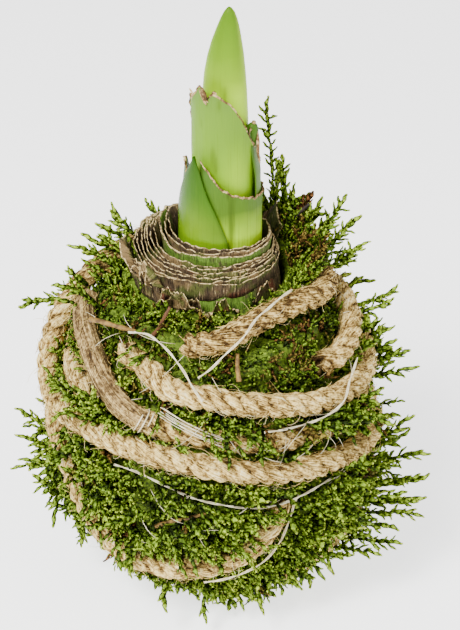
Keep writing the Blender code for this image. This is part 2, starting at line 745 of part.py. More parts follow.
def add_bed(name, line, radius, cutters):
    """A cutter a little wider and longer than the rope or thread that lies in it."""
    longer = list(line)
    longer[0] = line[0] + (line[0] - line[1]).normalized() * GAP
    longer[-1] = line[-1] + (line[-1] - line[-2]).normalized() * GAP
    as_mesh(tube(f"bed_{name}", longer, radius + BED_SPARE, None, cutters), cutters)


def add_moss(lines, threads, debris, material, collection, cutters):
    """The moss wrap with its shoots fused on, and with the bed of each rope and thread pressed into it."""
    ropes = (ROPE_OUTER_TURN, ROPE_FRONT_TURN, ROPE_BACK_TURN, ROPE_SIDE_RUN, ROPE_LOW_RUN)
    near_rope = [smooth_route(route, 3.0 * MM) for route in ropes]
    wrap = object_from("moss_wrap", loft(moss_rings(near_rope)), material, collection)
    for i, bm in enumerate(moss_shoots(near_rope)):
        object_from(f"shoot_{i}", bm, None, cutters)
    apply_boolean(wrap, "UNION", cutters)
    for name, line in lines.items():
        add_bed(name, line, ROPE_RADIUS, cutters)
    for name, line in threads.items():
        add_bed(name, line, THREAD_RADIUS, cutters)
    for name, (line, radius) in debris.items():
        add_bed(name, line, radius, cutters)
    apply_boolean(wrap, "DIFFERENCE", cutters)
    keep_largest(wrap)


def main():
    for old in list(bpy.data.objects):
        bpy.data.objects.remove(old, do_unlink=True)
    parts = bpy.data.collections.new("moss_wrapped_bulb")
    cutters = bpy.data.collections.new("cutters")
    bpy.context.scene.collection.children.link(parts)
    bpy.context.scene.collection.children.link(cutters)

    skin = principled("dry_skin", (0.36, 0.25, 0.15), 0.75)
    leaf = principled("leaf_green", (0.28, 0.45, 0.08), 0.4)
    pale = principled("pale_sheath", (0.36, 0.48, 0.2), 0.5)
    moss = principled("moss_green", (0.1, 0.2, 0.03), 0.9)
    jute = principled("jute", (0.5, 0.38, 0.22), 0.95)
    smooth_jute = principled("weathered_jute", (0.42, 0.34, 0.25), 0.6)
    cream = principled("cream_thread", (0.85, 0.8, 0.68), 0.4)
    dry = {
        "dry_stalk": principled("dry_stalk", (0.42, 0.27, 0.13), 0.8),
        "red_bract": principled("red_bract", (0.3, 0.12, 0.05), 0.8),
        "dark_twig": principled("dark_twig", (0.09, 0.05, 0.03), 0.8),
    }

    object_from("bulb", loft(bulb_rings()), skin, parts)
    flakes = [(-178, -140, 113.4, 123.5, 1.0), (-134, -98, 113.4, 124.0, 0.6), (-92, -62, 113.4, 120.0, 0.8)]
    for i, (start, stop, foot, top, lift) in enumerate(flakes):
        skin_flake(f"skin_flake_{i + 1}", start, stop, foot, top, lift, skin, parts)
    add_leaves(leaf, pale, parts)

    lines = rope_lines()
    threads = {name: smooth_route(route, THREAD_POINT_STEP) for name, route in THREAD_ROUTES.items()}
    debris = {
        name: (smooth_route(route, THREAD_POINT_STEP), radius * MM)
        for name, (route, radius, _) in DEBRIS_ROUTES.items()
    }
    add_moss(lines, threads, debris, moss, parts, cutters)
    for name, line in lines.items():
        tube(name, line, ROPE_RADIUS, smooth_jute if name == "rope_smooth_stretch" else jute, parts)
    for name, line in threads.items():
        tube(name, line, THREAD_RADIUS, cream, parts)
    for name, (line, radius) in debris.items():
        tube(name, line, radius, dry[DEBRIS_ROUTES[name][2]], parts)


main()
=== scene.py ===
"""Dressed model of a sprouting amaryllis bulb in a ball of feather moss, bound with jute rope.

Lengths in the classes are in millimetres. The ball rests on its flat spot at the origin, +Z is up
and the front looks along -Y.
"""

import sys
import functools
import json
import logging
import math
from dataclasses import dataclass, field, fields
from enum import Enum
from typing import Self

import bpy
import numpy as np
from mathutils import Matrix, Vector

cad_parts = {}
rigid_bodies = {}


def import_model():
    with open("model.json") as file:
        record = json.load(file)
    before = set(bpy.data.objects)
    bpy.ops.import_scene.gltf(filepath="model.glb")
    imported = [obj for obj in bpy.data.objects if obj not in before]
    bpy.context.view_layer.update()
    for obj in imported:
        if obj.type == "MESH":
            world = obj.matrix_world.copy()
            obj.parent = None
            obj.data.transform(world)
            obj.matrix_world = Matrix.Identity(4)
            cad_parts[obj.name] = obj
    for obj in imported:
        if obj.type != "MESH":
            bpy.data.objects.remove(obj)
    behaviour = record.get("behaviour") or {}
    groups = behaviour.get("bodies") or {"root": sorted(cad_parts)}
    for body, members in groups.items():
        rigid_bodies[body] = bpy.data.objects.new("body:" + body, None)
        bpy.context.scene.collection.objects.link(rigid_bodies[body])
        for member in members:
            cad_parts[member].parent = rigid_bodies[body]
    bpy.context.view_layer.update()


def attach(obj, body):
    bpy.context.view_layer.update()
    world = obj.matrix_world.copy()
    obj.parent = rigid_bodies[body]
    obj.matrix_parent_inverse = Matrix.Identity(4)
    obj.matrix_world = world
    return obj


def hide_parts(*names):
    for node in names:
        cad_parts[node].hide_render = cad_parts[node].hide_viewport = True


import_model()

Array = np.ndarray
Route = list[tuple[float, float, float]]
Outline = list[tuple[float, float]]
Colour = tuple[float, float, float]
MM = 0.001
LOG = logging.getLogger("bulb")
# The neck's middle along X, and the height from which the moss leaves room for it
NECK_SHIFT = -1.2
NECK_FOOT = 100.0
# The radius of the cylinder round the neck that the skins' streaks follow
NECK_GRAIN = 24
# The steps outwards over the threads that the moss leaves free
OVER_THREADS = (0.0, 2.2, 4.4, 6.6, 8.8)

# Each route is (degrees round the ball, height, lift of the middle of the rope off the moss)
ROPE_ROUTES: dict[str, Route] = {
    "rope_outer_turn": [
        (-103, 107, 0.6), (-94, 108.5, 2.8), (-81, 111, 4.3), (-61, 114, 4.4), (-35, 114, 4.4),
        (-10, 111, 4.4), (17, 109, 4.4), (45, 110, 4.4), (75, 112, 4.4), (105, 114, 4.4), (130, 116, 4.6),
        (148, 114, 5.2), (158, 109, 6.2), (166, 102, 7.4), (173, 93, 8.2), (179, 84, 8.2), (186, 77, 7.0),
        (197, 74, 5.6), (211, 75, 4.6), (229, 76, 4.6), (245, 76, 4.8), (259, 75, 5.4), (273, 73, 5.8),
        (287, 70, 5.8), (301, 68, 5.8), (314, 66, 5.8), (329, 63, 5.8), (345, 60, 5.4), (362, 59, 4.6),
        (385, 59, 4.3), (415, 60, 4.3), (445, 61, 4.3), (475, 62, 4.3), (505, 62, 4.3), (530, 62, 4.3),
        (550, 62, 4.3), (562, 59, 4.3), (570, 53, 4.3), (576, 44, 4.2), (582, 36, 4.0), (589, 30, 4.0),
        (598, 27, 4.0), (611, 27, 4.0), (624, 29, 4.0), (636, 33, 4.0), (646, 39, 3.4), (653, 46, 1.8),
        (657, 53, -0.4),
    ],
    "rope_front_turn": [
        (-131, 104, 4.5), (-124, 103, 4.4), (-116, 101, 4.4), (-107, 97, 4.4), (-98, 96, 4.4), (-89, 95, 4.4),
        (-79, 93, 4.4), (-65, 91, 4.6), (-51, 88, 4.6), (-38, 86, 4.6), (-23, 84, 4.4), (-8, 83, 4.3),
        (8, 86, 4.3), (25, 90, 4.3), (45, 93, 4.3), (70, 94, 4.3), (95, 94, 4.3), (120, 93, 4.0),
        (140, 91, 2.4), (156, 89, 0.6), (172, 87, -0.4), (186, 86, -0.2), (200, 86, 1.4), (211, 86, 2.0),
        (219, 85, 1.0),
    ],
    "rope_back_turn": [
        (-38, 95, 0.6), (-26, 95, 3.2), (-11, 97, 4.3), (5, 99, 4.3), (22, 100, 4.3), (45, 101, 4.3),
        (70, 103, 3.0), (92, 104, 0.4),
    ],
    "rope_side_run": [
        (-179, 107, 4.3), (-173, 104, 4.4), (-160, 102, 4.6), (-147, 99, 4.8), (-136, 94.5, 5.2),
        (-127, 90, 5.0), (-119, 86, 3.6), (-111, 83.5, 1.6), (-102, 81.5, 0.0), (-86, 79.5, -0.8),
        (-71, 77, -0.8), (-55, 75, -0.8), (-38, 73, -0.4), (-22, 71, 1.2), (-6, 70, 2.2), (12, 69.5, 1.4),
        (34, 69.5, -0.6),
    ],
    "rope_low_run": [
        (46, 44, 0.4), (30, 48, 3.0), (12, 50, 4.2), (-2, 48, 4.2), (-10, 43, 4.2), (-15, 36, 4.2),
        (-20, 29, 4.2), (-28, 22, 4.0), (-40, 17, 3.0), (-54, 14, 0.8),
    ],
}
# The untwisted stretch at the start of rope_side_run
SMOOTH_LENGTH = 60.0
THREAD_ROUTES: dict[str, Route] = {
    "thread_over_top": [
        (-40, 120, 9.0), (-50, 119.6, 9.0), (-60, 118.4, 9.1), (-68, 117, 9.3), (-76, 113, 8.8),
        (-84, 108, 6.4), (-90, 104, 5.4), (-95, 102, 6.6),
    ],
    "thread_upper_left": [
        (-130, 110, 6.8), (-122, 110, 5.0), (-115, 109, 5.0), (-108, 107.5, 6.0), (-101, 104, 7.0),
        (-97, 101, 8.6), (-93, 97, 9.4),
    ],
    "thread_upper_right": [
        (-24, 94, 8.0), (-29, 92, 7.8), (-34, 90.5, 8.4), (-41, 87, 9.6), (-48, 84, 7.6), (-56, 82.5, 5.0),
        (-64, 82.5, 4.2), (-71, 83, 4.2),
    ],
    "thread_front": [
        (-124, 69, 6.6), (-116, 68, 5.2), (-106, 65, 4.8), (-96, 61, 4.6), (-84, 58, 4.8), (-74, 56, 5.0),
        (-64, 56, 5.2), (-55, 57, 5.2), (-46, 58, 5.4), (-39, 58, 6.8),
    ],
    "thread_low": [
        (-57, 54.6, 2.2), (-58, 50.6, 1.4), (-60, 45.5, 2.2), (-65, 39, 5.2), (-71, 33.5, 7.2),
        (-78, 29.5, 7.8), (-86, 26.5, 7.9), (-93, 24.5, 7.6),
    ],
}
DEBRIS_ROUTES: dict[str, Route] = {
    "dry_stalk_low": [(-110, 46.8, 4.2), (-104, 50.6, 4.6), (-98, 53, 5.0), (-92, 56, 5.6)],
    "dry_stalk_stub": [(-79, 100, 5.2), (-79, 103.2, 4.6), (-78, 106.4, 3.6)],
    "dry_root_curl": [(-123, 107, 0.4), (-119, 111, 2.6), (-115, 116, 6.4), (-112, 119.6, 9.4)],
    "bark_strip_upper": [(-150, 109.6, 9.6), (-142, 111, 9.4), (-135, 110.6, 7.4), (-129, 109.5, 4.6)],
    "dark_twig": [(36, 117, 3.4), (34, 121, 7.0), (32, 126, 13.0), (29, 131, 20.0)],
}
# Long shoots that stand off the ball: degrees and height of the root, then x, y and z of the tip
LONG_SHOOTS: list[tuple[float, float, float, float, float]] = [
    (44, 112, 16.4, 20, 174.5), (36, 112, 23, 22, 150), (52, 112, 24, 34, 141), (45, 112, 29, 32, 131),
    (36, 111, 37, 30, 125), (28, 109, 47, 24, 133), (22, 108, 50, 20, 125), (18, 105, 51, 15, 118),
    (11, 94, 63, 11, 101), (6, 85, 61, 5, 89), (2, 78, 67, 2, 82), (-1, 73, 69, -1, 78),
    (-9, 49, 64, -10, 53), (-12, 44, 73, -12, 50), (-16, 36, 76, -17, 43), (-19, 32, 74, -19, 36),
    (-21, 29, 72, -21, 31), (165, 100, -69, 14, 93), (147, 110, -40, 24, 116), (153, 107, -44, 20, 112),
    (139, 112, -35, 30, 120), (122, 114, -24, 38, 123), (-171, 52, -66, -9, 66), (-169, 47, -65, -11, 56),
    (-166, 41, -64, -14, 49), (-162, 34, -62, -17, 43), (-159, 28, -57, -19, 33),
    (-108, 24, -17, -52, 14), (-93, 21, -3, -51, 9), (-73, 20, 17, -50, 11), (100, 60, -12, 68, 66),
    (60, 40, 36, 58, 40), (-17, 30, 72, -22, 37), (-14, 37, 71, -18, 43), (-26, 20, 66.5, -30, 25),
    (-24, 25, 63, -28, 31), (-31, 18, 57, -34, 24), (-38, 18, 47.7, -38, 25), (8, 92, 61, 8, 99),
    (2, 80, 62, 2, 86), (20, 106, 48.5, 18, 109), (140, 36, -52, 44, 32), (75, 26, 18, 60, 24),
    (118, 30, -30, 56, 30), (30, 58, 58, 34, 62), (150, 114, -39, 18, 124), (144, 114, -34, 22, 126),
    (156, 112, -43, 13, 121), (163, 111, -46, 9, 119.5), (158, 113, -37, 14, 121),
    (-176, 105, -52, -5, 113), (-172, 103, -53, -8, 109), (-168, 105, -47, -10, 114.5),
    (-178, 106, -49, -2, 116), (178, 107, -40, 0, 116), (171, 109, -42, 5, 115),
    (33, 112, 34.5, 20, 136.5), (35, 112, 31.5, 22, 132),
]
# The last of them are brown
BROWN_SHOOTS = 2
# How high the moss stands behind the neck, by degrees round it
COLLAR_RISE: Outline = [
    (-180, 0), (-20, 0), (5, 5), (25, 11), (65, 12), (100, 8), (130, 8), (160, 6), (180, 0),
]


class Slot(Enum):
    """The record's material slot names, passed along with each piece."""

    SKIN = "dry_skin"
    LEAF = "leaf_green"
    SHEATH = "pale_sheath"
    MOSS = "moss_green"
    JUTE = "jute"
    OLD_JUTE = "weathered_jute"
    THREAD = "cream_thread"
    STALK = "dry_stalk"
    BRACT = "red_bract"
    TWIG = "dark_twig"


def unit(vectors: Array) -> Array:
    """Vectors along the last axis, each made one long."""
    length = np.linalg.norm(vectors, axis=-1, keepdims=True)
    return vectors / np.maximum(length, 1e-9)


def eased(value: Array, low: float, high: float) -> Array:
    """A smooth step from 0 at the low place to 1 at the high one."""
    share = np.clip((np.asarray(value, float) - low) / (high - low), 0.0, 1.0)
    return share * share * (3.0 - 2.0 * share)


def hump(value: Array, middle: float, spread: float) -> Array:
    """A bell-shaped rise to 1 at its middle."""
    return np.exp(-(((value - middle) / spread) ** 2))


def on_outline(outline: Outline, at: Array) -> Array:
    """Values read along a line of (place, value) points."""
    places, values = zip(*outline)
    return np.interp(at, places, values)


def ripple(a: Array, b: Array, seed: float) -> Array:
    """A soft two-way wave field between about -1 and 1.

    Args:
        a: First coordinate, in waves.
        b: Second coordinate, in waves.
        seed: Shifts the pattern.

    Returns:
        The field's value at each pair.
    """
    return (
        np.sin(2.1 * a + 1.3 * b + seed) * np.sin(1.7 * b - 0.9 * a + 2.1 * seed)
        + 0.6 * np.sin(4.3 * a - 2.9 * b + 3.7 * seed)
        + 0.4 * np.sin(7.7 * b + 5.1 * a + 1.9 * seed)
    ) / 1.6


@dataclass(frozen=True)
class BallForm:
    """The ball of moss as a smooth body of revolution."""

    half_width: float = 50.5
    middle: float = 61.0
    above: float = 60.0
    below: float = 66.0
    squareness: float = 2.2

    def radius(self, height: Array, lift: Array = 0.0) -> Array:
        """The form's radius.

        Args:
            height: Height over the floor.
            lift: How far the whole form is lifted off itself.

        Returns:
            The radius at each height.
        """
        height = np.asarray(height, float)
        reach = np.where(height > self.middle, self.above, self.below) + lift
        share = np.clip(np.abs(height - self.middle) / reach, 0.0, 1.0)
        power = self.squareness
        return (self.half_width + lift) * (1.0 - share**power) ** (1.0 / power)

    def point(self, degrees: Array, height: Array, lift: Array = 0.0) -> Array:
        """Points on the form.

        Args:
            degrees: Azimuth round the Z axis.
            height: Height over the floor.
            lift: How far the form is lifted.

        Returns:
            The points, one row each.
        """
        turn = np.radians(degrees)
        radius = self.radius(height, lift)
        height = np.broadcast_to(np.asarray(height, float), radius.shape)
        return np.stack([radius * np.cos(turn), radius * np.sin(turn), height], -1)

    def normal(self, points: Array) -> Array:
        """Outward directions of the form.

        Args:
            points: Points near it, one row each.

        Returns:
            A unit vector for each point.
        """
        height = np.clip(points[..., 2], 1.0, self.middle + self.above - 2.0)
        slope = self.radius(height + 0.5) - self.radius(height - 0.5)
        flat = points[..., :2] / np.maximum(np.linalg.norm(points[..., :2], axis=-1, keepdims=True), 1e-6)
        return unit(np.concatenate([flat, -slope[..., None]], -1))


BALL = BallForm()


def smooth_line(knots: Array, step: float) -> Array:
    """A smooth curve through points, cut in even steps.

    Args:
        knots: The points, one row each.
        step: The length of a step.

    Returns:
        Points along the curve.
    """
    knots = np.vstack([2 * knots[0] - knots[1], knots, 2 * knots[-1] - knots[-2]])
    t = np.linspace(0.0, 1.0, 24, endpoint=False)[:, None]
    fine = []
    for before, start, stop, after in zip(knots, knots[1:], knots[2:], knots[3:]):
        fine.append(
            0.5 * (
                2 * start + (stop - before) * t + (2 * before - 5 * start + 4 * stop - after) * t**2
                + (3 * start - before - 3 * stop + after) * t**3
            )
        )
    line = np.vstack([*fine, knots[-2:-1]])
    along = np.concatenate([[0.0], np.cumsum(np.linalg.norm(np.diff(line, axis=0), axis=1))])
    places = np.linspace(0.0, along[-1], max(2, round(along[-1] / step)) + 1)
    return np.stack([np.interp(places, along, line[:, i]) for i in range(3)], 1)


def route_line(route: Route, step: float) -> Array:
    """Points along the smooth line of a route on the ball, a step apart."""
    degrees, height, lift = np.array(route, float).T
    return smooth_line(BALL.point(degrees, height, lift), step)


def carried_frame(line: Array, first: Array | None = None) -> tuple[Array, Array, Array]:
    """Directions along a line that don't spin round it.

    Args:
        line: Points along it.
        first: Where the side direction starts, or None for any.

    Returns:
        The line's own direction, a side and an up direction at each point.
    """
    ahead = unit(np.gradient(line, axis=0))
    side = np.zeros_like(line)
    start = np.array([0.3, 0.2, 1.0]) if first is None else first
    last = start - ahead[0] * (start @ ahead[0])
    for i, along in enumerate(ahead):
        last = last - along * (last @ along)
        last = last / np.linalg.norm(last)
        side[i] = last
    return ahead, side, np.cross(ahead, side)


def spoke(side: Array, up: Array, turn: Array) -> Array:
    """Directions across a line at angles that turn from its side to its up direction."""
    return side * np.cos(turn)[..., None] + up * np.sin(turn)[..., None]


def oval(centre: Array, wide: Array, depth: float, turn: Array, height: Array) -> Array:
    """Points on upright oval rings, by their half width and their depth as a share of it."""
    return np.stack([centre + wide * np.cos(turn), depth * wide * np.sin(turn), height], -1)


def neck_grain(turn: Array, height: Array) -> Array:
    """Places on a plain cylinder, which the streaks of the neck's skins follow."""
    return oval(0.0, np.full(height.shape, NECK_GRAIN), 1, turn, height)


def hold(mesh: bpy.types.Mesh, name: str, values: Array) -> None:
    """Writes a named value for each point into a mesh.

    Args:
        mesh: The mesh.
        name: The value's name.
        values: A vector, a whole number or a number for each point.
    """
    wide = values.ndim > 1
    whole = values.dtype.kind == "i"
    kind = "FLOAT_VECTOR" if wide else "INT" if whole else "FLOAT"
    held = mesh.attributes.new(name, kind, "POINT")
    flat = values.astype(np.int32 if whole else np.float32).reshape(-1)
    held.data.foreach_set("vector" if wide else "value", flat)


class Shape:
    """Points, faces and named values of a piece while it is being made, in millimetres."""

    def __init__(self) -> None:
        """Starts empty."""
        self.points: list[Array] = []
        self.faces: list[Array] = []
        self.values: list[dict[str, Array]] = []
        self.count = 0

    def add(self, points: Array, faces: list[Array], **values: Array) -> None:
        """Adds one closed body.

        Args:
            points: Its points, one row each.
            faces: Arrays of point numbers, each with three or four columns.
            **values: Named values, one per point, or one for all.
        """
        self.points.append(points)
        self.faces += [part + self.count for part in faces]
        kept = {}
        for name, value in values.items():
            value = np.asarray(value, float)
            wide = (len(points), 3) if value.ndim > 1 else (len(points),)
            kept[name] = np.broadcast_to(value, wide)
        self.values.append(kept)
        self.count += len(points)

    def capped(self, grid: Array, ends: Array, **values: Array | tuple[Array, tuple[float, float]]) -> None:
        """Adds a closed body of rings with a middle point at either end.

        Args:
            grid: The rings' points, rows by columns.
            ends: The first and the last middle point.
            **values: Named values: one for all, a grid of vectors, or a grid's and the ends' numbers.
        """
        given = {}
        for name, value in values.items():
            if isinstance(value, tuple):
                value = np.append(value[0].reshape(-1), value[1])
            elif np.ndim(value):
                value = np.vstack([value.reshape(-1, 3), ends])
            given[name] = value
        self.add(np.vstack([grid.reshape(-1, 3), ends]), tube_faces(*grid.shape[:2]), **given)

    def sheet(self, outer: Array, inner: Array, closed: bool = False, **values: Array) -> None:
        """Adds a thin closed body between two grids of points.

        Args:
            outer: The outer face's points, rows by columns, with the columns turning left round the middle.
            inner: The inner face's points, of the same shape.
            closed: Whether the columns go all the way round.
            **values: Named values, the same on both faces: one for all, or a grid of numbers or vectors.
        """
        given = {}
        for name, value in values.items():
            if np.ndim(value):
                flat = value.reshape(-1, 3) if value.ndim > 2 else value.reshape(-1)
                value = np.concatenate([flat, flat])
            given[name] = value
        points = np.concatenate([outer.reshape(-1, 3), inner.reshape(-1, 3)])
        self.add(points, sheet_faces(*outer.shape[:2], closed), **given)

    def tube(self, line: Array, radius: Array, sides: int, **values: Array) -> None:
        """Adds a closed tube along a line.

        Args:
            line: Points along its middle.
            radius: Its radius: one number, one per point, or one per point and side.
            sides: How many sides it has.
            **values: Named values, one for all or one per point of the line.
        """
        _, side, up = carried_frame(line)
        turn = np.linspace(0.0, math.tau, sides, endpoint=False)
        radius = np.asarray(radius, float)
        radius = np.broadcast_to(radius.reshape(radius.shape + (1,) * (2 - radius.ndim)), (len(line), sides))
        grid = line[:, None] + spoke(side[:, None], up[:, None], turn) * radius[..., None]
        given = {}
        for name, value in values.items():
            each = np.broadcast_to(value, len(line))
            given[name] = (np.repeat(each, sides), each[[0, -1]])
        self.capped(grid, line[[0, -1]], **given)

    def made(self, name: str, material: bpy.types.Material | None, smooth: bool = True) -> bpy.types.Object:
        """The finished piece, in metres.

        Args:
            name: The piece's name.
            material: Its finish.
            smooth: Whether its faces are shaded smooth.

        Returns:
            The object, linked to the scene.
        """
        points = np.vstack(self.points)
        mesh = bpy.data.meshes.new(name)
        corners = [part.shape[1] for part in self.faces for _ in range(len(part))]
        flat = np.concatenate([part.reshape(-1) for part in self.faces])
        mesh.vertices.add(len(points))
        mesh.vertices.foreach_set("co", (points * MM).astype(np.float32).reshape(-1))
        mesh.loops.add(len(flat))
        mesh.loops.foreach_set("vertex_index", flat.astype(np.int32))
        starts = np.concatenate([[0], np.cumsum(corners)[:-1]]).astype(np.int32)
        mesh.polygons.add(len(corners))
        mesh.polygons.foreach_set("loop_start", starts)
        mesh.polygons.foreach_set("use_smooth", np.full(len(corners), smooth))
        mesh.update(calc_edges=True)
        for value in sorted({key for kept in self.values for key in kept}):
            wide = max(kept[value].ndim for kept in self.values if value in kept)
            pairs = zip(self.values, self.points)
            rows = [kept.get(value, np.zeros((len(part), 3)[:wide])) for kept, part in pairs]
            hold(mesh, value, np.concatenate(rows))
        if material:
            mesh.materials.append(material)
        piece = bpy.data.objects.new(name, mesh)
        bpy.context.scene.collection.objects.link(piece)
        return piece


def grid_faces(rows: int, columns: int, closed: bool) -> Array:
    """Faces with four corners between the rows of a grid of points.

    Args:
        rows: How many rows it has.
        columns: Points in a row.
        closed: Whether the columns go all the way round.

    Returns:
        The faces, row by row.
    """
    i, j = np.meshgrid(np.arange(rows - 1), np.arange(columns if closed else columns - 1), indexing="ij")
    a, b = i * columns + j, i * columns + (j + 1) % columns
    return np.stack([a, b, b + columns, a + columns], -1).reshape(-1, 4)


def tube_faces(rows: int, sides: int) -> list[Array]:
    """Faces of a tube whose rings come first and whose two middle points come last.

    Args:
        rows: How many rings.
        sides: Points in a ring.

    Returns:
        The wall's faces with four corners and the ends' faces with three.
    """
    wall = grid_faces(rows, sides, True)
    middle = np.full((sides, 1), rows * sides)
    return [wall, np.hstack([wall[:sides, 1::-1], middle]), np.hstack([wall[-sides:, :1:-1], middle + 1])]


def sheet_faces(rows: int, columns: int, closed: bool) -> list[Array]:
    """Faces of a thin closed body whose outer grid of points comes first and whose inner one comes last.

    Args:
        rows: How many rows each grid has.
        columns: Points in a row.
        closed: Whether the columns go all the way round.

    Returns:
        The two faces and the border between them, all with four corners.
    """
    outer = grid_faces(rows, columns, closed)
    last = columns if closed else columns - 1
    edges = [outer[:last, 1::-1], outer[-last:, :1:-1]]
    if not closed:
        left = np.arange(rows - 1) * columns
        right = left + columns - 1
        edges += [np.stack([left, left + columns], 1), np.stack([right + columns, right], 1)]
    border = np.vstack(edges)
    shift = rows * columns
    return [outer, outer[:, ::-1] + shift, np.hstack([border, border[:, ::-1] + shift])]


# Finishes


Socket = bpy.types.NodeSocket
Material = bpy.types.Material


def toned(colour: Colour, share: float) -> Colour:
    """A colour made darker or lighter by a factor."""
    return tuple(share * part for part in colour)


class ShaderGraph:
    """A material's nodes, with short calls that add and join them."""

    def __init__(self, name: str) -> None:
        """Starts a material with one Principled shader.

        Args:
            name: The material's name.
        """
        self.material = bpy.data.materials.new(name)
        self.material.use_nodes = True
        self.tree = self.material.node_tree
        self.shader = self.tree.nodes["Principled BSDF"]

    def feed(self, socket: Socket, value: object) -> None:
        """Joins a socket to another, or sets its number or colour.

        Args:
            socket: The socket that takes the value.
            value: Another node's output, a number, a vector or a colour.
        """
        if isinstance(value, Socket):
            self.tree.links.new(value, socket)
        elif isinstance(value, tuple) and socket.type == "RGBA":
            socket.default_value = (*value, 1.0)
        else:
            socket.default_value = value

    def add(self, kind: str, given: dict, output: int | str = 0, **settings: str) -> Socket:
        """Adds a node.

        Args:
            kind: The end of its type's name.
            given: What its inputs take.
            output: Which output is read.
            **settings: Its settings.

        Returns:
            The output.
        """
        node = self.tree.nodes.new(f"ShaderNode{kind}")
        for name, value in settings.items():
            setattr(node, name, value)
        for name, value in given.items():
            self.feed(node.inputs[name], value)
        return node.outputs[output]

    def value(self, name: str) -> Socket:
        """A number that the mesh holds under a name."""
        return self.add("Attribute", {}, "Fac", attribute_name=name)

    def grain(self, *scale: float) -> Socket:
        """The place along the piece's own grain, scaled by axis."""
        place = self.add("Attribute", {}, "Vector", attribute_name="grain")
        return self.add("VectorMath", {0: place, 1: scale}, operation="MULTIPLY")

    def place(self) -> Socket:
        """The place on the object, in metres."""
        return self.add("TexCoord", {}, "Object")

    def noise(self, vector: Socket, scale: float, detail: float = 3.0, rough: float = 0.55) -> Socket:
        """A noise pattern around 0.5, with finer layers of a strength."""
        given = {"Vector": vector, "Scale": scale, "Detail": detail, "Roughness": rough}
        return self.add("TexNoise", given, "Fac")

    def math(self, operation: str, *numbers: object) -> Socket:
        """A sum on numbers or outputs."""
        return self.add("Math", dict(enumerate(numbers)), operation=operation)

    def step(self, value: Socket, low: float, high: float) -> Socket:
        """A smooth step that is 0 at the low place and 1 at the high one."""
        given = dict(enumerate((value, low, high, 0.0, 1.0)))
        return self.add("MapRange", given, interpolation_type="SMOOTHSTEP")

    def ramp(self, value: Socket, stops: tuple[tuple[float, Colour], ...]) -> Socket:
        """A run of colours.

        Args:
            value: Where along the run.
            stops: (place, colour) pairs.

        Returns:
            The colour.
        """
        colour = self.add("ValToRGB", {0: value})
        elements = colour.node.color_ramp.elements
        while len(elements) < len(stops):
            elements.new(0.5)
        for element, (place, shown) in zip(elements, stops):
            element.position = place
            element.color = (*shown, 1.0)
        return colour

    def swing(self, pattern: Socket, reach: float, middle: Socket) -> Socket:
        """A value that a pattern around 0.5 moves up and down."""
        return self.math("MULTIPLY_ADD", self.math("SUBTRACT", pattern, 0.5), reach, middle)

    def mix(self, share: Socket, a: Socket | Colour, b: Socket | Colour, strength: float = 1.0) -> Socket:
        """Two colours mixed, by a share of the second one times its strength."""
        share = share if strength == 1.0 else self.math("MULTIPLY", share, strength)
        return self.add("Mix", {0: share, 6: a, 7: b}, 2, data_type="RGBA")

    def relief(self, height: Socket, strength: float, distance: float) -> None:
        """Bumps the shader's surface by a pattern, over a distance in metres."""
        bump = self.add("Bump", {"Height": height, "Strength": strength, "Distance": distance})
        self.feed(self.shader.inputs["Normal"], bump)

    def done(self, colour: Socket, roughness: float, **constants: float | Colour) -> Material:
        """Sets the shader's last inputs.

        Args:
            colour: The base colour.
            roughness: The roughness.
            **constants: Other sockets by name, with underscores for spaces.

        Returns:
            The material.
        """
        for name, value in {"Base_Color": colour, "Roughness": roughness, **constants}.items():
            self.feed(self.shader.inputs[name.replace("_", " ")], value)
        return self.material


@dataclass(frozen=True)
class LeafFinish:
    """A fresh leaf: bright at its foot, with fine upright veins, a painted highlight and painted shade, and,
    on a cut leaf, a dry torn rim.
    """

    name: str
    foot: Colour
    body: Colour
    top: Colour
    pale_edge: Colour
    veins: float = 0.4
    roughness: float = 0.36
    torn: bool = True
    dry_rim: tuple[tuple[float, Colour], ...] = (
        (0.36, (0.025, 0.012, 0.006)), (0.46, (0.12, 0.06, 0.025)), (0.54, (0.38, 0.24, 0.11)),
        (0.66, (0.66, 0.5, 0.26)),
    )

    def build(self) -> Material:
        """The material.

        Returns:
            The material, which reads up, grain, light, shade and edge.
        """
        g = ShaderGraph(self.name)
        place = g.place()
        cloud = g.noise(place, 75.0, 2.0)
        vein = g.noise(g.grain(1.0, 1.0, 0.035), 1.5, 3.0, 0.6)
        fine = g.noise(g.grain(1.0, 1.0, 0.02), 4.5, 2.0)
        where = g.swing(cloud, 0.22, g.value("up"))
        # The very foot is brighter still: partly the leaf's own paler base, partly painted light against the
        # shade where the leaves meet the neck
        low = (1.7 * self.foot[0], 1.6 * self.foot[1], self.foot[2] + 0.004)
        colour = g.ramp(where, ((0.0, low), (0.2, self.foot), (0.45, self.body), (1.0, self.top)))
        # light holds a painted highlight, in the pale colour that the fine veins also take
        colour = g.mix(g.value("light"), colour, self.pale_edge, 0.75)
        # shade holds painted shade, which also takes the darker marks of a leaf base
        colour = g.mix(g.value("shade"), colour, toned(self.body, 0.42), 0.7)
        colour = g.mix(g.step(vein, 0.5, 0.72), colour, toned(self.body, 0.55), self.veins)
        colour = g.mix(g.step(fine, 0.52, 0.75), colour, self.pale_edge, 0.35 * self.veins)
        if self.torn:
            ragged = g.swing(g.noise(place, 420.0, 2.0), 0.9, g.value("edge"))
            dry = g.ramp(g.noise(place, 430.0, 4.0, 0.65), self.dry_rim)
            colour = g.mix(g.math("SUBTRACT", 1.0, g.step(ragged, 0.62, 1.25)), colour, dry)
        g.relief(g.math("ADD", vein, g.math("MULTIPLY", fine, 0.5)), 0.35, 0.00025)
        return g.done(
            colour, self.roughness, Subsurface_Weight=0.05, Subsurface_Radius=(0.0015, 0.0022, 0.0006),
            Subsurface_Scale=1.0, Specular_IOR_Level=0.2, Specular_Tint=(0.9, 1.0, 0.4),
        )


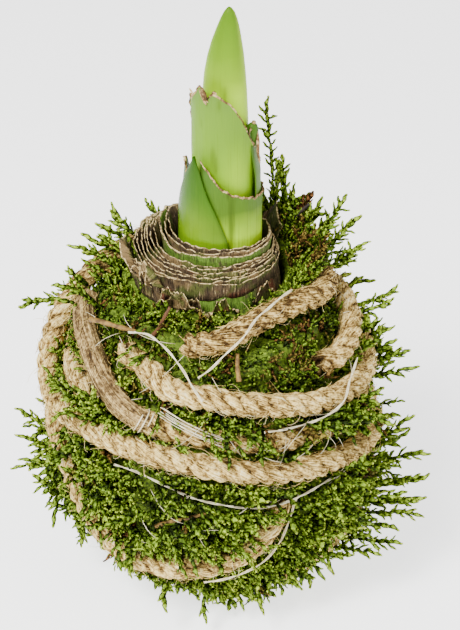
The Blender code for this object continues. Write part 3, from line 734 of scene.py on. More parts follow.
@dataclass(frozen=True)
class SkinFinish:
    """The cut neck and its dry skins: cream paper rims, brown faces, green flesh where it is fresh."""

    name: str = "dry_skin"
    rim: Colour = (0.7, 0.53, 0.25)
    tan: Colour = (0.26, 0.17, 0.07)
    brown: Colour = (0.065, 0.042, 0.022)
    red: Colour = (0.13, 0.033, 0.018)
    olive: Colour = (0.085, 0.11, 0.02)
    flesh: Colour = (0.13, 0.24, 0.025)

    def build(self) -> Material:
        """The material.

        Returns:
            The material, which reads grain, age, flesh and edge.
        """
        g = ShaderGraph(self.name)
        place = g.place()
        streak = g.noise(g.grain(1.0, 1.0, 0.1), 2.4, 4.0, 0.65)
        cloud = g.noise(place, 190.0, 3.0)
        crumb = g.noise(place, 850.0, 2.0, 0.6)
        age = g.swing(cloud, 1.2, g.value("age"))
        aged = toned(self.brown, 1.6)
        colour = g.ramp(age, ((0.05, self.tan), (0.4, self.brown), (0.75, aged), (1.05, self.red)))
        colour = g.mix(g.step(g.noise(place, 120.0, 2.0), 0.48, 0.6), colour, self.olive, 0.8)
        colour = g.mix(g.step(streak, 0.5, 0.66), colour, toned(self.brown, 0.25))
        colour = g.mix(g.step(streak, 0.42, 0.3), colour, self.rim, 0.7)
        fresh = g.mix(g.step(streak, 0.4, 0.62), self.flesh, toned(self.flesh, 0.35))
        bruise = g.math("MULTIPLY", g.step(g.noise(place, 240.0, 3.0), 0.53, 0.63), 0.75)
        sound = g.math("SUBTRACT", 1.0, bruise)
        colour = g.mix(g.math("MULTIPLY", g.value("flesh"), sound), colour, fresh)
        edge = g.swing(crumb, 1.6, g.value("edge"))
        torn = g.mix(g.step(cloud, 0.45, 0.6), self.tan, toned(self.brown, 0.4))
        colour = g.mix(g.step(edge, 0.75, 0.3), colour, g.mix(g.step(crumb, 0.47, 0.56), self.rim, torn))
        g.relief(g.math("ADD", streak, g.math("MULTIPLY", crumb, 0.5)), 0.9, 0.0007)
        return g.done(colour, 0.7, Specular_IOR_Level=0.2)


@dataclass(frozen=True)
class MossFinish:
    """Feather moss, bright at the tips and near black at the foot of each branch, painted shade deep in the
    moss, with some sprigs gone brown.
    """

    name: str = "moss_green"
    deep: Colour = (0.006, 0.008, 0.003)
    dark: Colour = (0.022, 0.04, 0.007)
    mid: Colour = (0.115, 0.2, 0.016)
    bright: Colour = (0.33, 0.48, 0.035)
    tip: Colour = (0.6, 0.7, 0.1)
    end: Colour = (0.12, 0.1, 0.02)
    brown: Colour = (0.15, 0.065, 0.022)

    def build(self) -> Material:
        """The material.

        Returns:
            The material, which reads tip, tone and dry.
        """
        g = ShaderGraph(self.name)
        place = g.place()
        leaf = g.noise(place, 900.0, 2.0, 0.6)
        tip = g.value("tip")
        where = g.math("MULTIPLY_ADD", tip, 0.5, g.math("MULTIPLY", g.value("tone"), 0.42))
        where = g.swing(leaf, 0.75, g.swing(g.noise(place, 55.0, 2.0), 0.3, where))
        # The deep and dark stops, where tip and tone are low, paint shade deep in the moss
        stops = ((0.08, self.deep), (0.28, self.dark), (0.5, self.mid), (0.74, self.bright), (0.98, self.tip))
        brown = g.mix(g.step(leaf, 0.35, 0.65), toned(self.brown, 0.35), toned(self.brown, 1.9))
        colour = g.mix(g.value("dry"), g.ramp(where, stops), brown)
        colour = g.mix(g.step(tip, 1.1, 1.3), colour, self.end, 0.75)
        g.relief(leaf, 0.9, 0.0007)
        return g.done(colour, 0.6, Specular_IOR_Level=0.12, Specular_Tint=(0.9, 1.0, 0.4))


@dataclass(frozen=True)
class JuteFinish:
    """Laid jute: fibre streaks along each strand, painted highlight on the strands' crests and painted shade
    in the grooves between them.
    """

    name: str
    groove: Colour = (0.05, 0.026, 0.008)
    dull: Colour = (0.17, 0.1, 0.03)
    body: Colour = (0.42, 0.27, 0.08)
    crest: Colour = (0.9, 0.66, 0.22)
    pale: Colour = (0.9, 0.8, 0.5)
    fibre: float = 1.0

    def build(self) -> Material:
        """The material.

        Returns:
            The material, which reads grain and crest.
        """
        g = ShaderGraph(self.name)
        place = g.place()
        fibre = g.noise(g.grain(0.2, 1.3, 1.3), 1.6, 3.0, 0.62)
        felt = g.noise(place, 900.0, 2.0, 0.6)
        height = g.math("ADD", g.math("MULTIPLY", fibre, 0.6), g.math("MULTIPLY", felt, 0.4))
        crest = g.swing(height, 3.7 * self.fibre, g.value("crest"))
        crest = g.swing(g.noise(place, 90.0, 3.0), 0.5, crest)
        colour = g.ramp(g.math("MULTIPLY", crest, 0.5), (
            (0.24, self.groove), (0.35, self.dull), (0.46, self.body), (0.62, self.crest), (0.8, self.pale),
        ))
        g.relief(height, 1.0, 0.0012)
        return g.done(colour, 0.9, Specular_IOR_Level=0.08)


@dataclass(frozen=True)
class PlainFinish:
    """A small dry or spun thing with streaks along it."""

    name: str
    light: Colour
    dark: Colour
    roughness: float = 0.7
    scale: float = 500.0

    def build(self) -> Material:
        """The material.

        Returns:
            The material, which reads no value of the mesh.
        """
        g = ShaderGraph(self.name)
        streak = g.noise(g.place(), self.scale, 3.0)
        colour = g.mix(g.step(streak, 0.38, 0.66), self.light, self.dark)
        g.relief(streak, 0.4, 0.0002)
        return g.done(colour, self.roughness)


@dataclass(frozen=True)
class FloorFinish:
    """The pale floor."""

    name: str = "pale_floor"
    colour: Colour = (0.92, 0.92, 0.92)

    def build(self) -> Material:
        """The material.

        Returns:
            The material, which glows a little so that the floor stays pale.
        """
        g = ShaderGraph(self.name)
        colour = g.mix(g.noise(g.place(), 6.0, 2.0), self.colour, toned(self.colour, 0.99))
        white = (1.0, 1.0, 1.0)
        return g.done(colour, 0.8, Specular_IOR_Level=0.1, Emission_Color=white, Emission_Strength=1.9)


# Studio and scattering


@dataclass(frozen=True)
class Lamp:
    """A soft square light that looks at the bulb: its place and side in mm, and its power in watts."""

    name: str
    place: tuple[float, float, float]
    side: float
    power: float
    aim: tuple[float, float, float] = (0.0, 0.0, 80.0)

    def build(self) -> None:
        """Hangs the light."""
        data = bpy.data.lights.new(self.name, "AREA")
        data.size = self.side * MM
        data.energy = self.power
        lamp = bpy.data.objects.new(self.name, data)
        lamp.location = Vector(self.place) * MM
        lamp.rotation_euler = (Vector(self.place) - Vector(self.aim)).to_track_quat("Z", "Y").to_euler()
        bpy.context.scene.collection.objects.link(lamp)


@dataclass
class Studio:
    """The camera at the photograph's angle, a pale floor and soft light."""

    target: tuple[float, float, float] = (6.0, 0.0, 98.0)
    elevation: float = 30.0
    distance: float = 620.0
    lens: float = 104.2
    sensor: float = 36.0
    near: float = 0.05
    far: float = 20.0
    floor_side: float = 30000.0
    floor_depth: float = 40.0
    room: float = 0.5
    lamps: tuple[Lamp, ...] = (
        Lamp("key", (-500.0, -700.0, 1100.0), 420.0, 38.0),
        Lamp("fill", (800.0, -500.0, 700.0), 900.0, 5.0),
    )

    def camera(self) -> None:
        """Makes the scene's camera."""
        data = bpy.data.cameras.new("camera")
        data.sensor_fit = "VERTICAL"
        data.sensor_height = self.sensor
        data.sensor_width = self.sensor
        data.lens = self.lens
        data.clip_start = self.near
        data.clip_end = self.far
        camera = bpy.data.objects.new("camera", data)
        tilt = math.radians(self.elevation)
        target = Vector(self.target) * MM
        camera.location = target + Vector((0.0, -math.cos(tilt), math.sin(tilt))) * self.distance * MM
        camera.rotation_euler = (math.radians(90.0 - self.elevation), 0.0, 0.0)
        bpy.context.scene.collection.objects.link(camera)
        bpy.context.scene.camera = camera

    def floor(self) -> None:
        """Lays the floor."""
        half = self.floor_side / 2
        outline = [(-half, -half), (half, -half), (half, half), (-half, half)]
        corners = [(x, y, z) for z in (-self.floor_depth, 0.0) for x, y in outline]
        faces = np.array([(3, 2, 1, 0), (4, 5, 6, 7), (0, 1, 5, 4), (1, 2, 6, 5), (2, 3, 7, 6), (3, 0, 4, 7)])
        shape = Shape()
        shape.add(np.array(corners), [faces])
        shape.made("pale_floor", FloorFinish().build(), smooth=False)

    def build(self) -> None:
        """Sets up the whole studio."""
        self.camera()
        self.floor()
        world = bpy.data.worlds.new("soft_room")
        world.use_nodes = True
        background = world.node_tree.nodes["Background"]
        background.inputs[0].default_value = (1.0, 1.0, 1.0, 1.0)
        background.inputs[1].default_value = self.room
        bpy.context.scene.world = world
        for lamp in self.lamps:
            lamp.build()


@dataclass
class Rows:
    """Values of many like things, in arrays with one row for each."""

    def chosen(self, keep: Array) -> Self:
        """Only the rows that a mask or a list of numbers keeps."""
        return type(self)(*(getattr(self, part.name)[keep] for part in fields(self)))

    def joined(self, other: Self) -> Self:
        """These rows and other ones together."""
        names = [part.name for part in fields(self)]
        return type(self)(*(np.concatenate([getattr(self, name), getattr(other, name)]) for name in names))


@dataclass
class Placing(Rows):
    """Where many small copies go."""

    root: Array
    ahead: Array
    face: Array
    size: Array
    tone: Array
    dry: Array
    kind: Array


@dataclass
class Scatter:
    """A Geometry Nodes tree that sets one of several small shapes on each point of a mesh."""

    name: str
    kinds: list[Shape]
    scale: float = 1.0
    tree: bpy.types.NodeTree | None = None
    inputs: dict[str, str] = field(default_factory=dict)
    collection: bpy.types.Collection | None = None

    def prepare(self) -> None:
        """Builds the small shapes' collection and the tree."""
        self.collection = bpy.data.collections.new(f"{self.name}_kinds")
        for i, shape in enumerate(self.kinds):
            kind = shape.made(f"{self.name}_kind_{i:02d}", None)
            bpy.context.scene.collection.objects.unlink(kind)
            self.collection.objects.link(kind)
        self.tree = bpy.data.node_groups.new(f"{self.name}_scatter", "GeometryNodeTree")
        face, nodes = self.tree.interface, self.tree.nodes
        face.new_socket("Points", in_out="INPUT", socket_type="NodeSocketGeometry")
        for label, kind in (("Kinds", "Collection"), ("Scale", "Float"), ("Finish", "Material")):
            socket = face.new_socket(label, in_out="INPUT", socket_type=f"NodeSocket{kind}")
            self.inputs[label] = socket.identifier
        face.new_socket("Copies", in_out="OUTPUT", socket_type="NodeSocketGeometry")
        given = nodes.new("NodeGroupInput").outputs
        result = nodes.new("NodeGroupOutput")
        held = {}
        kinds = {"ahead": "FLOAT_VECTOR", "face": "FLOAT_VECTOR", "size": "FLOAT", "kind": "INT"}
        for label, data in kinds.items():
            node = nodes.new("GeometryNodeInputNamedAttribute")
            node.data_type = data
            node.inputs["Name"].default_value = label
            held[label] = node.outputs["Attribute"]
        turn = nodes.new("FunctionNodeAxesToRotation")
        turn.primary_axis = "Z"
        turn.secondary_axis = "Y"
        size = nodes.new("ShaderNodeMath")
        size.operation = "MULTIPLY"
        info = nodes.new("GeometryNodeCollectionInfo")
        info.inputs["Separate Children"].default_value = True
        info.inputs["Reset Children"].default_value = True
        copy = nodes.new("GeometryNodeInstanceOnPoints")
        copy.inputs["Pick Instance"].default_value = True
        real = nodes.new("GeometryNodeRealizeInstances")
        finish = nodes.new("GeometryNodeSetMaterial")
        for source, target in (
            (held["ahead"], turn.inputs[0]), (held["face"], turn.inputs[1]),
            (held["size"], size.inputs[0]), (given["Scale"], size.inputs[1]),
            (given["Kinds"], info.inputs["Collection"]), (given["Points"], copy.inputs["Points"]),
            (info.outputs[0], copy.inputs["Instance"]), (held["kind"], copy.inputs["Instance Index"]),
            (turn.outputs[0], copy.inputs["Rotation"]), (size.outputs[0], copy.inputs["Scale"]),
            (copy.outputs[0], real.inputs[0]), (real.outputs[0], finish.inputs["Geometry"]),
            (given["Finish"], finish.inputs["Material"]), (finish.outputs[0], result.inputs[0]),
        ):
            self.tree.links.new(source, target)

    def piece(self, name: str, placing: Placing, material: Material) -> bpy.types.Object:
        """One plain mesh with a copy on each point.

        Args:
            name: The piece's name.
            placing: Where the copies go.
            material: Their finish.

        Returns:
            The piece.
        """
        mesh = bpy.data.meshes.new(name)
        mesh.vertices.add(len(placing.root))
        mesh.vertices.foreach_set("co", (placing.root * MM).astype(np.float32).reshape(-1))
        for part in fields(placing)[1:]:
            hold(mesh, part.name, getattr(placing, part.name))
        made = bpy.data.objects.new(name, mesh)
        bpy.context.scene.collection.objects.link(made)
        step = made.modifiers.new("scatter", "NODES")
        step.node_group = self.tree
        step[self.inputs["Kinds"]] = self.collection
        step[self.inputs["Scale"]] = self.scale
        step[self.inputs["Finish"]] = material
        bpy.context.view_layer.update()
        plain = bpy.data.meshes.new_from_object(made.evaluated_get(bpy.context.evaluated_depsgraph_get()))
        made.modifiers.clear()
        made.data = plain
        plain.name = name
        plain.materials.clear()
        plain.materials.append(material)
        for label in ("ahead", "face", "size", "kind"):
            plain.attributes.remove(plain.attributes[label])
        return made

    def clear(self) -> None:
        """Takes the small shapes away again."""
        for kind in list(self.collection.objects):
            bpy.data.objects.remove(kind)
        bpy.data.collections.remove(self.collection)


class Near:
    """Distances from points to a cloud of points along lines."""

    batch: int = 4000

    def __init__(self, lines: list[Array]) -> None:
        """Holds the points along some lines."""
        self.cloud = np.vstack(lines)

    def distance(self, points: Array) -> Array:
        """The distance from each point to the nearest one of the cloud.

        Args:
            points: Points, x, y and z along the last axis.

        Returns:
            The distances, of the points' shape without the last axis.
        """
        flat = points.reshape(-1, 3)
        found = []
        for start in range(0, len(flat), self.batch):
            part = flat[start : start + self.batch]
            squared = (part**2).sum(1)[:, None] + (self.cloud**2).sum(1)[None] - 2.0 * part @ self.cloud.T
            found.append(np.sqrt(np.maximum(squared.min(1), 0.0)))
        return np.concatenate(found).reshape(points.shape[:-1])


def rode(piece: bpy.types.Object, look: Slot, *nodes: str) -> None:
    """Hides the CAD nodes that a finished piece stands for, hangs it on the root body and logs its faces.

    Args:
        piece: The piece.
        look: Not used.
        *nodes: The CAD nodes that it stands for.
    """
    if nodes:
        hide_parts(*nodes)
    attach(piece, "root")
    LOG.info("%s: %d faces", piece.name, len(piece.data.polygons))


# The bulb and its sprout


@dataclass(frozen=True)
class Scale:
    """One cut bulb scale: the place of its rim and how dry or fresh it is."""

    rim: float
    wide: float
    deep: float
    centre: float
    age: float
    flesh: float = 0.0
    wall: float = 0.4
    wave: float = 0.5


@dataclass
class BulbNeck:
    """The bulb's body and the stack of cut scales at its neck."""

    columns: int = 112
    left_rise: float = 4.8
    left_turn: float = 2.65
    left_spread: float = 0.75
    profile: Outline = field(default_factory=lambda: [
        (10.2, 11.0), (11.0, 15.5), (14.5, 17.0), (20.0, 29.0), (31.0, 38.5), (46.0, 42.6), (61.0, 42.0),
        (76.0, 37.5), (88.0, 31.5), (97.0, 27.0), (106.0, 24.6), (112.0, 24.0), (117.0, 23.4), (120.5, 22.6),
    ])
    scales: list[Scale] = field(default_factory=lambda: [
        Scale(122.9, 23.4, 23.4, -1.2, 0.55, wave=0.9),
        Scale(123.6, 22.7, 22.6, -0.9, 0.15, wave=0.7),
        Scale(124.3, 22.0, 21.7, -0.6, 0.5),
        Scale(125.0, 21.2, 20.8, -0.2, 0.25),
        Scale(125.6, 20.5, 20.0, 0.2, 0.6),
        Scale(126.2, 19.8, 19.2, 0.6, 0.3),
        Scale(126.8, 19.1, 18.3, 1.0, 0.15, wave=0.6),
        Scale(129.4, 17.9, 17.0, 1.7, 0.4, flesh=0.95, wall=0.9, wave=0.5),
        Scale(130.2, 16.9, 15.6, 2.3, 0.2),
        Scale(130.9, 16.0, 14.4, 2.9, 0.5, wave=0.4),
    ])

    def body(self, shape: Shape) -> None:
        """The bulb's outer form up to the scales.

        Args:
            shape: The shape that takes it.
        """
        heights, radii = np.array(self.profile).T
        low, high = heights[0], heights[-1]
        rows = np.concatenate([np.linspace(low, 100.0, 26), np.linspace(102.0, high, 16)])
        turn = np.linspace(0.0, math.tau, self.columns, endpoint=False)
        tall = np.repeat(rows[:, None], self.columns, 1)
        shift = NECK_SHIFT * np.clip((rows - 90.0) / 33.0, 0.0, 1.0)
        relief = 0.28 * ripple(turn[None] * 5, rows[:, None] * 0.05, 2.0) * eased(rows, 95, 110)[:, None]
        points = oval(shift[:, None], np.interp(rows, heights, radii)[:, None] + relief, 1, turn, tall)
        degrees = np.degrees(np.arctan2(points[..., 1], points[..., 0]))
        front = eased(degrees, -112, -98) * (1.0 - eased(degrees, -58, -46)) * eased(tall, 100, 112)
        flesh = front * (1.0 - eased(tall + 1.2 * ripple(turn * 4, 0.0, 5.0), 118.2, 119.6))
        age = 0.75 + 0.35 * ripple(turn[None] * 2.2, rows[:, None] * 0.12, 7.0)
        shape.capped(
            points, np.array([[0.0, 0.0, low], [shift[-1], 0.0, high]]), flesh=(flesh, (0.0, 0.0)),
            age=(age, (0.0, 0.0)), edge=2.0, grain=neck_grain(turn, tall),
        )

    def scale(self, shape: Shape, part: Scale, seed: float) -> None:
        """One cut scale, as a thin standing ring with a ragged rim.

        Args:
            shape: The shape that takes it.
            part: The scale.
            seed: Shifts its waves.
        """
        turn = np.linspace(0.0, math.tau, self.columns, endpoint=False)
        rim = part.rim + 1.25 * part.wave * ripple(turn * 1.1, 0.0, seed)
        rim = rim + 0.4 * ripple(turn * 7.0, 0.0, 3 * seed) + 0.3 * ripple(turn * 19.0, 0.0, 5 * seed)
        rim = rim + self.left_rise * hump(turn, self.left_turn, self.left_spread)
        rows = np.array([0.0, 0.35, 0.6, 0.8, 0.93, 1.0])
        foot = min(part.rim - 6.0, 121.0)
        height = foot + (rim - foot)[None] * rows[:, None]
        drop = (part.rim - height) / 6.0
        out = 0.32 * ripple(turn[None] * 2.3, drop * 0.7, 1.7 * seed) + 0.35 * (1.0 - drop) ** 3
        out = out + 0.14 * ripple(turn[None] * 9.0, drop * 1.5, 2.3 * seed) * (1.0 - 0.5 * drop)
        rings = []
        for inward in (0.0, part.wall * (1.0 - 0.35 * rows)[:, None]):
            x = part.centre + (part.wide + out - inward) * np.cos(turn)
            rings.append(np.stack([x, (part.deep + out - inward) * np.sin(turn), height - 0.12 * inward], -1))
        fresh = part.flesh * eased(ripple(turn * 1.1, 0.0, 9.0) + 0.6, -0.3, 0.3)
        shape.sheet(
            *rings, closed=True, edge=(rim[None] - height) / 0.42,
            age=part.age + 0.3 * ripple(turn[None] * 1.6, drop, seed + 4.0),
            flesh=np.broadcast_to(fresh, height.shape), grain=neck_grain(turn, height),
        )

    def build(self, skin: Material) -> None:
        """Makes the piece.

        Args:
            skin: Its finish.
        """
        shape = Shape()
        self.body(shape)
        for i, part in enumerate(self.scales):
            self.scale(shape, part, 1.3 + 2.7 * i)
        rode(shape.made("bulb_dressed", skin), Slot.SKIN, "bulb")


@dataclass(frozen=True)
class Flake:
    """One dry flake of skin: its span in degrees, its foot and top, and how it stands off."""

    start: float
    stop: float
    foot: float
    top: float
    lift: float
    age: float
    lean: float = 0.0


@dataclass
class SkinFlakes:
    """The dry flakes that stand off the neck, mostly at its left and front."""

    flakes: list[Flake] = field(default_factory=lambda: [
        Flake(-186, -148, 113.4, 125.5, 1.9, 0.3, 6.0),
        Flake(-156, -126, 113.4, 124.0, 1.0, 0.5, -6.0),
        Flake(-92, -66, 113.4, 117.5, 1.2, 0.95),
        Flake(-147, -115, 116.5, 127.6, 2.9, -0.35, -8.0),
        Flake(-178, -142, 115.5, 128.5, 3.2, 0.12, -12.0),
        Flake(-128, -102, 113.4, 121.0, 3.0, 0.2, 6.0),
        Flake(-121, -104, 114.5, 122.2, 2.4, 0.95, -2.0),
        Flake(-148, -136, 114.0, 125.8, 2.2, 0.3, 3.0),
        Flake(-112, -90, 113.4, 118.6, 2.2, 0.55, 1.0),
        Flake(168, 196, 113.6, 124.6, 1.4, 0.5),
        Flake(-58, -30, 113.4, 119.4, 0.9, 0.6),
        Flake(120, 158, 114.0, 123.6, 1.0, 0.4),
        Flake(30, 92, 114.0, 122.4, 0.8, 0.5),
        Flake(28, 58, 117.0, 132.0, 2.6, 0.3, -9.0),
    ])
    radius: float = 24.4
    apart: float = 0.75
    wall: float = 0.32
    columns: int = 26
    rows: int = 14

    def flake(self, shape: Shape, part: Flake) -> None:
        """One flake.

        Args:
            shape: The shape that takes it.
            part: The flake.
        """
        across = np.linspace(0.0, 1.0, self.columns)[None]
        up = np.linspace(0.0, 1.0, self.rows)[:, None]
        seed = part.start * 0.37
        ragged = 1.3 * np.sin(9 * across + seed) + 0.7 * np.sin(23 * across + 2 * seed)
        ragged = ragged + 0.4 * np.sin(51 * across + seed)
        top = part.top + ragged - 4.5 * (2 * across - 1) ** 2
        height = part.foot + (top - part.foot) * up
        narrow = 1.0 - 0.25 * up * np.sin(3 * seed + 2.0)
        degrees = (part.start + part.stop) / 2 + (part.stop - part.start) * (across - 0.5) * narrow
        degrees = degrees + part.lean * up + 1.2 * np.sin(9 * up + seed) * (across - 0.5)
        turn = np.radians(degrees)
        bow = part.lift * (1.2 * up**2 + 0.35 * up) + 0.5 * ripple(across * 2.2, up * 1.8, seed) * up
        curl = 1.1 * part.lift * eased(up, 0.72, 1.0) * np.sin(6 * across + seed)
        radius = self.radius - 0.09 * (height - 113) + self.apart + bow + 0.35 * curl
        shape.sheet(
            oval(NECK_SHIFT, radius, 1, turn, height), oval(NECK_SHIFT, radius - self.wall, 1, turn, height),
            edge=np.minimum((top - height) / 0.3, np.minimum(across, 1 - across) * 30 + 0.62),
            age=part.age + 0.25 * ripple(across * 1.5, up * 1.2, seed + 2.0), flesh=0.0,
            grain=neck_grain(turn, height),
        )

    def build(self, skin: Material) -> None:
        """Makes the piece.

        Args:
            skin: Its finish.
        """
        shape = Shape()
        for part in self.flakes:
            self.flake(shape, part)
        nodes = [f"skin_flake_{number}" for number in (1, 2, 3)]
        rode(shape.made("skin_flakes_dressed", skin), Slot.SKIN, *nodes)


@dataclass(frozen=True)
class Curl:
    """A rolled bit of a torn rim: points with a radius each, and how dry it is."""

    points: tuple[tuple[float, float, float, float], ...]
    edge: float

    def build(self, shape: Shape) -> None:
        """Adds the bit.

        Args:
            shape: The piece that it is added to.
        """
        given = np.array(self.points)
        steps = np.linspace(0.0, len(given) - 1.0, 4 * len(given))
        line = np.stack([np.interp(steps, np.arange(len(given)), given[:, k]) for k in range(4)], -1)
        round_off = 0.4 + 0.6 * np.sqrt(np.clip(1 - (2 * steps / steps[-1] - 1) ** 6, 0.0, 1.0))
        shape.tube(line[:, :3], line[:, 3] * round_off, 12, up=0.75, edge=self.edge, light=0.0, shade=0.25)


@dataclass
class LeafBase:
    """A cut leaf base that wraps the sprout."""

    node: str
    span: tuple[float, float]
    centre: float
    rim: Outline
    reach: Outline
    # bright: degrees, spread and top height of a painted highlight
    bright: tuple[float, float, float] = (0.0, 0.0, 0.0)
    torn: float = 0.5
    foot: float = 112.4
    marks: tuple[tuple[float, float, float, float], ...] = ()
    curls: tuple[Curl, ...] = ()
    depth: float = 0.86
    wall: float = 0.9
    columns: int = 56
    rows: int = 40

    def grid(self) -> tuple[Array, Array, Array, Array]:
        """The grid of the leaf base.

        Returns:
            Degrees, heights, the distance under the rim and the outer radius.
        """
        across = np.linspace(0.0, 1.0, self.columns)
        degrees = self.span[0] + (self.span[1] - self.span[0]) * across
        seed = self.centre + self.span[0] * 0.05
        tears = ripple(degrees * 0.11, 0.0, seed) + 0.5 * ripple(degrees * 0.5, 0.0, 2 * seed)
        rim = on_outline(self.rim, degrees) + self.torn * tears
        up = np.linspace(0.0, 1.0, self.rows)[:, None] ** 0.8
        height = self.foot + (rim - self.foot)[None] * up
        degrees = np.broadcast_to(degrees, height.shape)
        return degrees, height, rim[None] - height, on_outline(self.reach, height)

    def build(self, finish: Material, slot: Slot) -> None:
        """Makes the piece.

        Args:
            finish: Its finish.
            slot: The record's slot.
        """
        degrees, height, under, radius = self.grid()
        turn = np.radians(degrees)
        seed = self.span[0] * 0.1
        roll = 0.42 * np.exp(-under / 0.7) * (1.0 + ripple(degrees * 0.2, 0.0, seed))
        radius = radius + roll + 0.1 * ripple(degrees * 0.06, height * 0.08, seed)
        across = (degrees - self.span[0]) / (self.span[1] - self.span[0])
        border = np.minimum(across, 1 - across)
        wall = self.wall * (np.minimum(1.0, 0.45 + border * 9) * np.minimum(1.0, 0.5 + under / 4))
        # light is a painted highlight where bright places it; shade is painted shade toward both ends of the
        # sheet, with darker marks added
        light = 0.0
        middle, spread, top = self.bright
        if spread:
            light = hump(degrees, middle, spread) * (1.0 - eased(height, top - 16, top))
        shade = 0.5 * (1.0 - eased(border, 0.0, 0.05))
        for where, tall, wide, high in self.marks:
            shade = shade + 1.3 * hump(degrees, where, wide) * hump(height, tall, high)
        shape = Shape()
        shape.sheet(
            oval(self.centre, radius, self.depth, turn, height),
            oval(self.centre, radius - wall, self.depth, turn, height),
            up=(height - 126.0) / (max(z for _, z in self.rim) - 126.0), edge=under / 0.85, light=light,
            shade=np.minimum(shade, 1.0), grain=np.stack([13 * turn, 0 * turn, height], -1),
        )
        for curl in self.curls:
            curl.build(shape)
        rode(shape.made(f"{self.node}_dressed", finish), slot, self.node)


@dataclass
class TallLeaf:
    """The long pointed leaf inside the sheaths, given by its left and right edges."""

    foot: float = 112.4
    taper: float = 184.0
    tip: float = 208.0
    half_depth: float = 5.2
    back: float = 0.8
    sides: int = 48
    rows: int = 84
    left: Outline = field(default_factory=lambda: [
        (112, -2.8), (165, -2.8), (181.3, -2.7), (186.5, -2.2), (192, -1.2), (196.7, 0.1), (201.1, 1.7),
        (204.5, 3.1), (206.6, 4.2), (207.6, 5.0), (208, 5.5),
    ])
    right: Outline = field(default_factory=lambda: [
        (112, 12.0), (170.8, 11.9), (181.3, 11.4), (186.5, 11.0), (192.7, 10.4), (197.4, 9.7), (201, 9.1),
        (204, 8.4), (206.4, 7.5), (207.6, 6.6), (208, 5.9),
    ])

    def build(self, finish: Material) -> None:
        """Makes the piece.

        Args:
            finish: Its finish.
        """
        low = np.linspace(self.foot, self.taper, self.rows // 2, endpoint=False)
        share = np.sin(np.linspace(0.0, 0.5 * math.pi, self.rows // 2))
        height = np.concatenate([low, self.taper + (self.tip - self.taper) * share])
        left, right = on_outline(self.left, height), on_outline(self.right, height)
        half = (right - left) / 2
        middle = (right + left) / 2
        turn = np.linspace(0.0, math.tau, self.sides, endpoint=False)
        flat = 0.82 + 0.18 * np.abs(np.sin(turn))
        crease = 0.6 * hump(np.cos(turn), 0.12, 0.16) * (np.sin(turn) < 0)
        deep = self.half_depth * (half / half[0]) ** 0.8
        x = middle[:, None] + half[:, None] * np.cos(turn)
        y = self.back + deep[:, None] * np.sin(turn) * flat + 0.35 * crease * (half / half[0])[:, None]
        tall = np.repeat(height[:, None], self.sides, 1)
        across = np.broadcast_to(np.cos(turn), x.shape)
        # Painted highlight along the right edge and, weaker, the left one; painted shade on the front, in a
        # patch in the middle below about 182 mm and in a band toward the left above it
        light = 0.9 * eased(across, 0.7, 0.97) + 0.35 * eased(across, -0.86, -1.0)
        patch = hump(across, -0.02, 0.13) * (1.0 - eased(tall, 181.5, 183.5))
        band = hump(across, -0.5, 0.3) * eased(tall, 180, 192)
        shade = (0.75 * patch + 0.28 * band) * (np.sin(turn) < 0.2)
        ends = np.array([[middle[0], self.back, self.foot], [5.7, self.back, self.tip]])
        shape = Shape()
        shape.capped(
            np.stack([x, y, tall], -1), ends, up=((tall - 178) / 30, (0.0, 1.0)), light=(light, (0.0, 0.0)),
            shade=(shade, (0.0, 0.0)), edge=5.0,
            grain=np.stack([8 * across + 3 * (np.sin(turn) > 0), 0 * x, tall], -1),
        )
        rode(shape.made("leaf_tall_dressed", finish), Slot.LEAF, "leaf_tall")


@dataclass
class PointedLeaf:
    """The small glossy leaf at the front left."""

    foot: float = 112.4
    tip: float = 161.6
    rows: int = 60
    columns: int = 32
    centre: float = 3.5
    radius: float = 14.6
    depth: float = 0.86
    wall: float = 0.9
    left: Outline = field(default_factory=lambda: [
        (112, -205), (128, -200), (138, -182), (146.5, -163), (150.3, -155), (153.8, -148), (157, -140.5),
        (160.4, -132.5), (161.7, -130.2),
    ])
    right: Outline = field(default_factory=lambda: [
        (112, -79), (130.4, -81.5), (134.1, -85.3), (138.8, -92.8), (143.4, -100.4), (147.5, -108.1),
        (150.9, -113.4), (154.2, -118), (156.9, -121.3), (159.1, -125), (161.7, -129.4),
    ])

    def build(self, finish: Material) -> None:
        """Makes the piece.

        Args:
            finish: Its finish.
        """
        height = np.linspace(self.foot, self.tip, self.rows)
        above = np.clip((height - 128.0) / 32.0, 0.0, 1.0)[:, None]
        start, stop = on_outline(self.left, height), on_outline(self.right, height)
        across = np.linspace(-1.0, 1.0, self.columns)[None]
        degrees = ((start + stop) / 2)[:, None] + ((stop - start) / 2)[:, None] * across
        turn = np.radians(degrees)
        radius = self.radius - 0.3 * above + 0.35 * (1 - across**2) * (0.3 + above)
        wall = self.wall * np.minimum(1.0, 0.35 + 2.6 * (1 - np.abs(across)))
        tall = np.repeat(height[:, None], self.columns, 1)
        # Painted highlight in a band low down round -128 degrees, painted shade along the right edge
        light = 0.7 * hump(degrees, -128, 26) * (1.0 - eased(tall, 134, 150))
        shade = np.broadcast_to(0.9 * eased(across, 0.86, 1.0), tall.shape)
        shape = Shape()
        shape.sheet(
            oval(self.centre, radius, self.depth, turn, tall),
            oval(self.centre, radius - wall, self.depth, turn, tall),
            up=(tall - 130.0) / 30.0, light=light, shade=shade, edge=5.0,
            grain=np.stack([13 * turn, 0 * turn, tall], -1),
        )
        rode(shape.made("leaf_left_pointed_dressed", finish), Slot.LEAF, "leaf_left_pointed")


